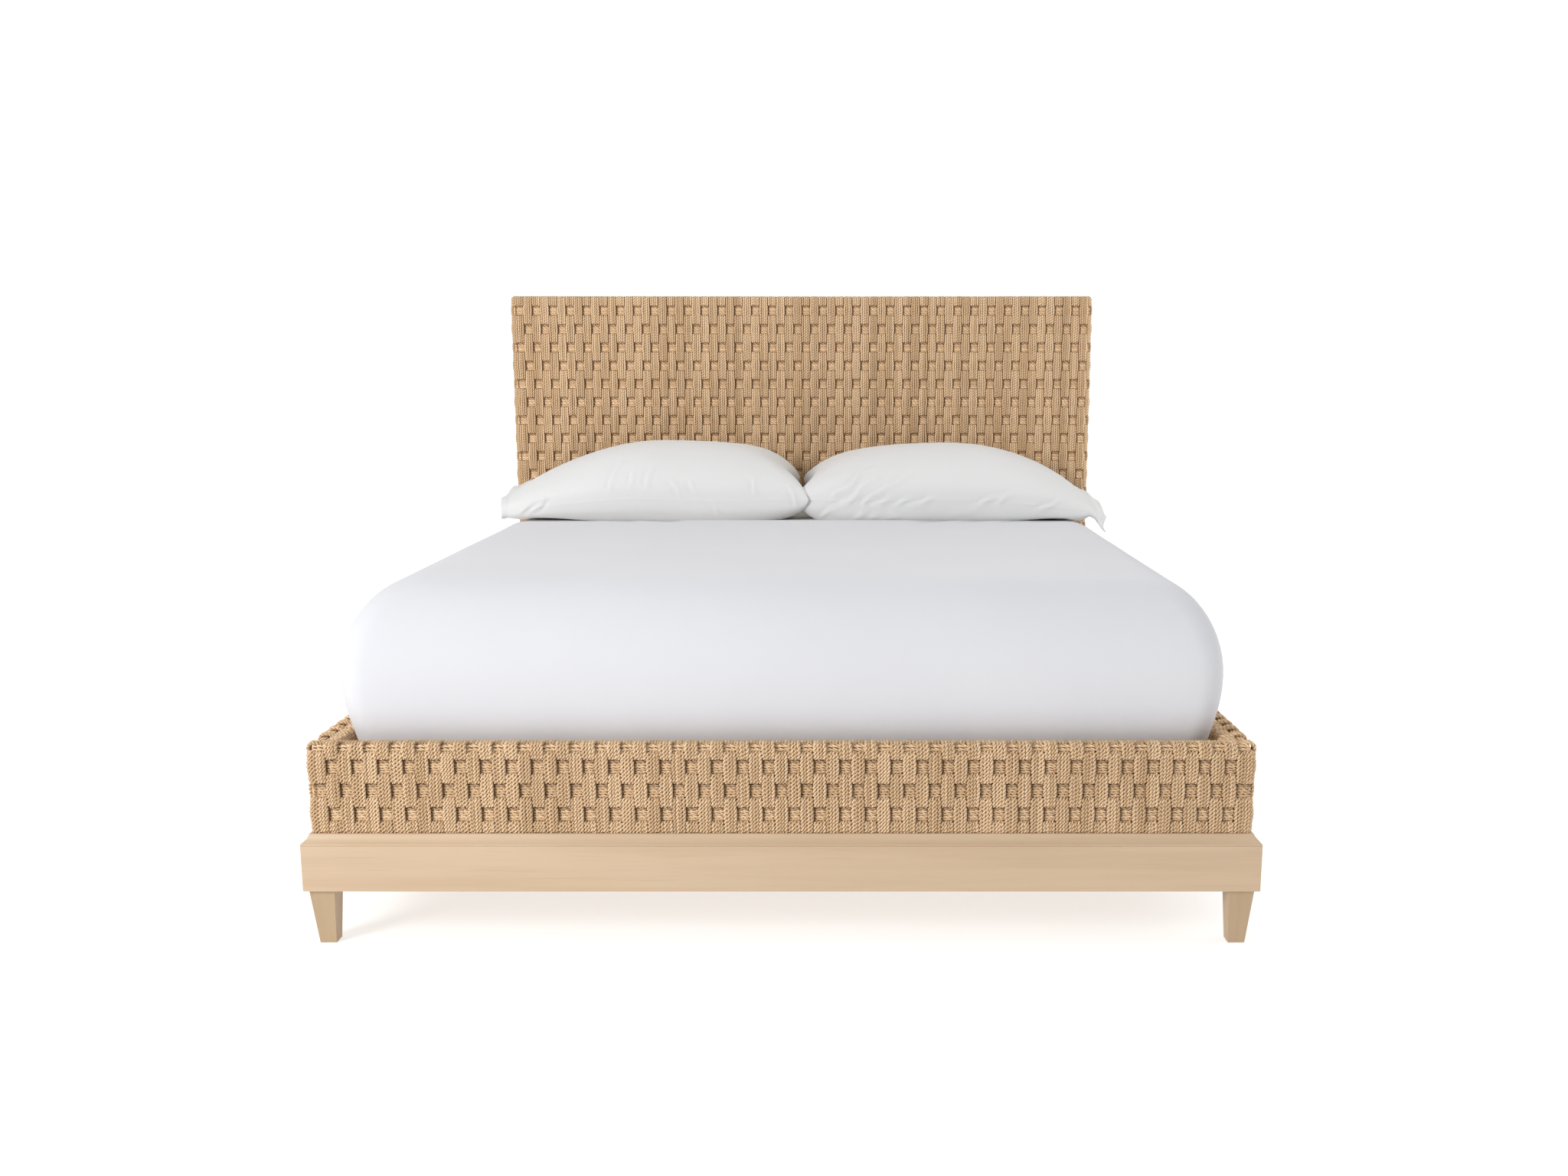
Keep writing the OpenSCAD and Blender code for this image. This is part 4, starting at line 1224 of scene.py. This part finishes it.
def pillow_point(u, v, side, grow, look, folds=False):
    """A point of the pillow's surface; u runs to the outer end, v from front to back. Beyond
    v = 1 the two sheets of the case run on as the thin fin of the seam."""
    rim = min(1, max(-1, v))
    fin = abs(v) > 1
    seam = seam_height(u, rim) + 0.003 * math.sin(u * 5 + look["seed"]) * (1 - u * u)
    deep = (pillow_high.y - look["front"]) / 2
    if u > 0:
        x = u * (pillow_half + grow) * (1 - 0.03 * rim * rim)
    else:
        ear = look["ear"] * math.exp(-((rim + 1) / 0.55) ** 2)
        x = u * (pillow_half + grow) * (1 - 0.055 * (1 - rim * rim)) - ear * abs(u) ** 5
    shrink = 0.03 * (1 - u * u) + look["round"][u > 0] * u ** 4
    tube = (look["tube"] if u > 0 else 0.012) * abs(u) ** 3 * (1 - rim ** 6) ** 0.5
    if side > 0:
        lift = (look["rise"] - (seam_front + seam_back) / 2 - 0.006) * crown_of(u, rim, look)
        lift += tube
        bulge = 0.003 * math.sin(math.pi * min(1, lift / 0.08))
        fold = corner_folds(x, rim * deep, look) * min(1, lift * 20) if folds else 0
        z = seam + 0.002 + lift + grow + fold
    else:
        fall = look["fall"] * crown_of(u, rim, look, 7.0) + tube
        bulge = 0.003 * math.sin(math.pi * min(1, fall / max(seam, 0.001)))
        z = seam - 0.002 - fall
        z = max(z, bed_gap(u, look)) - grow
    if fin:
        bulge, z = 0.0006, seam + side * 0.0008
    y = rim * (deep + grow + bulge) * (1 - shrink)
    y += (pillow_low.y + look["front"]) / 2 - pillow_low.y
    return Vector((x, y, z))


print("seam heights:", seam_front, "to", seam_back, "m")

# %% Surface of a case
case_grow = 0.0022


def case_point(u, v, side, look):
    """The case follows the pillow to its end, then runs on as a hem that droops."""
    if u <= 1:
        return pillow_point(u, v, side, case_grow, look, True)
    t = u - 1
    base = pillow_point(1, v, side, case_grow, look, True)
    front, back = look["droop"]
    angle = (front + (back - front) * (v + 1) / 2) * min(1, 0.35 + t)
    wave = 0.005 * math.sin(v * 7 + look["seed"]) * t
    length = look["hem"] * t * (1 - 0.25 * min(1, abs(v)) ** 5)
    base.x += length * math.cos(angle)
    base.z += wave - length * math.sin(angle)
    return base

# %% [markdown]
# ## Two grids sewn together
# The steps between the points crowd towards the rims, where the form is round. The top and the
# underside are laid as two grids and sewn with a row of faces along their rims. Each point also
# keeps its place in the flat cut of cloth, so that a simulation can compare the two.

# %% Grids sewn into a shell
def even_steps(count, bend=0.55):
    """Steps from -1 to 1 that crowd a little towards both ends, where the form is round."""
    steps = [-1 + 2 * i / count for i in range(count + 1)]
    return [t * (1 - bend) + math.sin(math.pi / 2 * t) * bend for t in steps]


def run_lengths(points):
    """Lengths along a line of points, measured from the middle one."""
    total = [0.0]
    for a, b in zip(points, points[1:]):
        total.append(total[-1] + (b - a).length)
    middle = total[len(total) // 2]
    return [t - middle for t in total]


def grid_shell(name, columns, rows, place, open_end, cut=1.02):
    """Joins a top and an underside grid along their rims, except at an open outer end. Each
    point also keeps its place in the flat cut of cloth, which is a plain rectangle."""
    work = bmesh.new()
    flat = work.verts.layers.float_vector.new("flat")
    layers = []
    across = [t * cut for t in run_lengths([place(c, 0, 1) for c in columns])]
    along = [t * cut for t in run_lengths([place(0, r, 1) for r in rows])]
    for side in (1, -1):
        grid = [[work.verts.new(place(c, r, side)) for r in rows] for c in columns]
        for i, line in enumerate(grid):
            for j, vert in enumerate(line):
                vert[flat] = (across[i], along[j], side * 0.002)
        layers.append(grid)
    for grid, flip in zip(layers, (False, True)):
        for i in range(len(columns) - 1):
            for j in range(len(rows) - 1):
                quad = [grid[i][j], grid[i + 1][j], grid[i + 1][j + 1], grid[i][j + 1]]
                work.faces.new(quad[::-1] if flip else quad)
    top, under = layers
    last = len(columns) - 1
    for i in range(last):
        work.faces.new([top[i][0], under[i][0], under[i + 1][0], top[i + 1][0]])
        work.faces.new([top[i + 1][-1], under[i + 1][-1], under[i][-1], top[i][-1]])
    for j in range(len(rows) - 1):
        work.faces.new([top[0][j + 1], under[0][j + 1], under[0][j], top[0][j]])
        if not open_end:
            work.faces.new([top[last][j], under[last][j], under[last][j + 1], top[last][j + 1]])
    bmesh.ops.remove_doubles(work, verts=work.verts, dist=1e-6)
    bmesh.ops.recalc_face_normals(work, faces=work.faces)
    mesh = bpy.data.meshes.new(name)
    work.to_mesh(mesh)
    work.free()
    return put_in_scene(name, mesh)


def set_down(obj, side):
    """Moves a pillow piece to its bed side; side -1 is the left, whose outer end is at -X."""
    centre = Vector((side * (pillow_high.x + pillow_low.x) / -2,
                     (pillow_low.y + pillow_high.y) / 2, pillow_rest))
    obj.data.transform(Matrix.Translation(centre) @ Matrix.Diagonal((side, 1, 1, 1)))
    if side < 0:
        obj.data.flip_normals()


steps = even_steps(40)
print("first and middle step:", round(steps[1] - steps[0], 4), round(steps[20] - steps[19], 4))

# %% [markdown]
# ## Letting the cotton settle
# A pillowcase is cut flat, two rectangles sewn together. Round a full pillow the middle of the
# cloth is tight, and near the seams there is too much of it, so it puckers there. The cloth
# simulation is told the flat cut as the shape that the cloth would like to have, and starts
# from the drawn form. Pressure holds it out, and no point may move far.

# %% Cloth simulation of a case
def settle(obj, held, frames=12, most=0.008):
    count = len(obj.data.vertices)
    start = np.empty(count * 3)
    obj.data.vertices.foreach_get("co", start)
    flat = np.empty(count * 3)
    obj.data.attributes["flat"].data.foreach_get("vector", flat)
    obj.shape_key_add(name="drawn")
    cut = obj.shape_key_add(name="cut")
    cut.data.foreach_set("co", flat)
    group = obj.vertex_groups.new(name="held")
    for v in obj.data.vertices:
        weight = held(v.co)
        if weight > 0:
            group.add([v.index], weight, "REPLACE")
    cloth = obj.modifiers.new("cloth", "CLOTH")
    setting = cloth.settings
    setting.rest_shape_key = cut
    setting.quality = 6
    setting.mass = 0.15
    setting.tension_stiffness = 14
    setting.compression_stiffness = 6
    setting.shear_stiffness = 4
    setting.bending_stiffness = 0.05
    setting.use_pressure = True
    setting.uniform_pressure_force = 3.0
    setting.vertex_group_mass = "held"
    setting.effector_weights.gravity = 0
    cloth.collision_settings.use_collision = False
    cloth.point_cache.frame_start, cloth.point_cache.frame_end = 1, frames
    scene = bpy.context.scene
    for frame_number in range(1, frames + 1):
        scene.frame_set(frame_number)
    evaluated = obj.evaluated_get(bpy.context.evaluated_depsgraph_get())
    end = np.empty_like(start)
    evaluated.data.vertices.foreach_get("co", end)
    scene.frame_set(1)
    obj.modifiers.clear()
    obj.shape_key_clear()
    move = (end - start).reshape(-1, 3)
    length = np.maximum(np.linalg.norm(move, axis=1, keepdims=True), 1e-9)
    move *= np.minimum(1, most / length)
    obj.data.vertices.foreach_set("co", (start.reshape(-1, 3) + move).ravel())
    obj.data.update()
    obj.vertex_groups.clear()
    print(obj.name, "moved by up to", round(float(length.max()), 4), "and on average",
          round(float(length.mean()), 4))


def case_held(point):
    """Full hold on the bed and in the hem, a strong one near the seam, hardly any between."""
    if point.z < 0.004 or point.x > pillow_half * 0.99:
        return 1.0
    u, v = point.x / pillow_half, point.y / pillow_deep
    rim = max(abs(u), abs(v))
    return min(1, max(0, (rim - 0.95) / 0.05)) * 0.7 + 0.01


print("cases are simulated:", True)

# %% [markdown]
# ## Creases
# The photo also shows longer creases that come from folding and handling, and no simulation
# finds those. Each is pressed into the front of the case as a ridge beside a shallower valley,
# with a slight wave along it, and fades out at both ends.

# %% Creases
def press_creases(obj, look, width=0.0065, height=0.0036):
    """Presses long soft creases into the front of a case, each a ridge beside a valley. They
    run from (x0, z0) to (x1, z1) as seen from the foot of the bed."""
    normals = [v.normal.copy() for v in obj.data.vertices]
    for v, normal in zip(obj.data.vertices, normals):
        facing = ease((0.12 - v.co.y) / 0.15) * ease((v.co.z - 0.004) / 0.012)
        if facing <= 0:
            continue
        move = 0.0
        for x0, z0, x1, z1 in look["creases"]:
            dx, dz = x1 - x0, z1 - z0
            length = math.hypot(dx, dz)
            along = ((v.co.x - x0) * dx + (v.co.z - z0) * dz) / length
            aside = ((v.co.x - x0) * dz - (v.co.z - z0) * dx) / length
            aside += 0.004 * math.sin(along * 60 + x0 * 50)
            fade = ease(along / 0.03 + 0.5) * ease((length - along) / 0.03 + 0.5)
            if fade > 0 and abs(aside) < width * 4:
                move += fade * (math.exp(-(aside / width) ** 2)
                                - 0.7 * math.exp(-((aside + width * 1.7) / width) ** 2))
        v.co += normal * (move * height * facing)


print("creases:", [len(look["creases"]) for look in pillow_looks.values()])

# %% Pillows in their cases
hem_steps = [1 + t / 7 for t in range(1, 8)]


def pillow_body(word, side, look):
    steps = even_steps(40), even_steps(26)
    inner = grid_shell(f"pillow_body_{word}", *steps,
                       lambda u, v, s: pillow_point(u * 0.985, v * 0.985, s, -0.006, look),
                       False)
    set_down(inner, side)
    dress(inner, ticking, f"pillow_set_{word}", f"pillow_{word}")
    return inner


def pillow_case(word, side, look):
    steps = even_steps(84) + hem_steps, [-1.01] + even_steps(56, 0.75) + [1.01]
    case = grid_shell(f"case_{word}", *steps, lambda u, v, s: case_point(u, v, s, look), True)
    settle(case, case_held)
    finer = case.modifiers.new("finer", "SUBSURF")
    finer.levels = finer.render_levels = 1
    plain(case)
    press_creases(case, look)
    set_down(case, side)
    area = thicken(case, 0.0015, -1.0)
    dress(case, case_cotton, f"pillow_set_{word}", f"pillowcase_{word}")
    return case, area


for side, word in ((-1, "left"), (1, "right")):
    inner = pillow_body(word, side, pillow_looks[word])
    case, case_area = pillow_case(word, side, pillow_looks[word])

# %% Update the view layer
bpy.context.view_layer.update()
import json
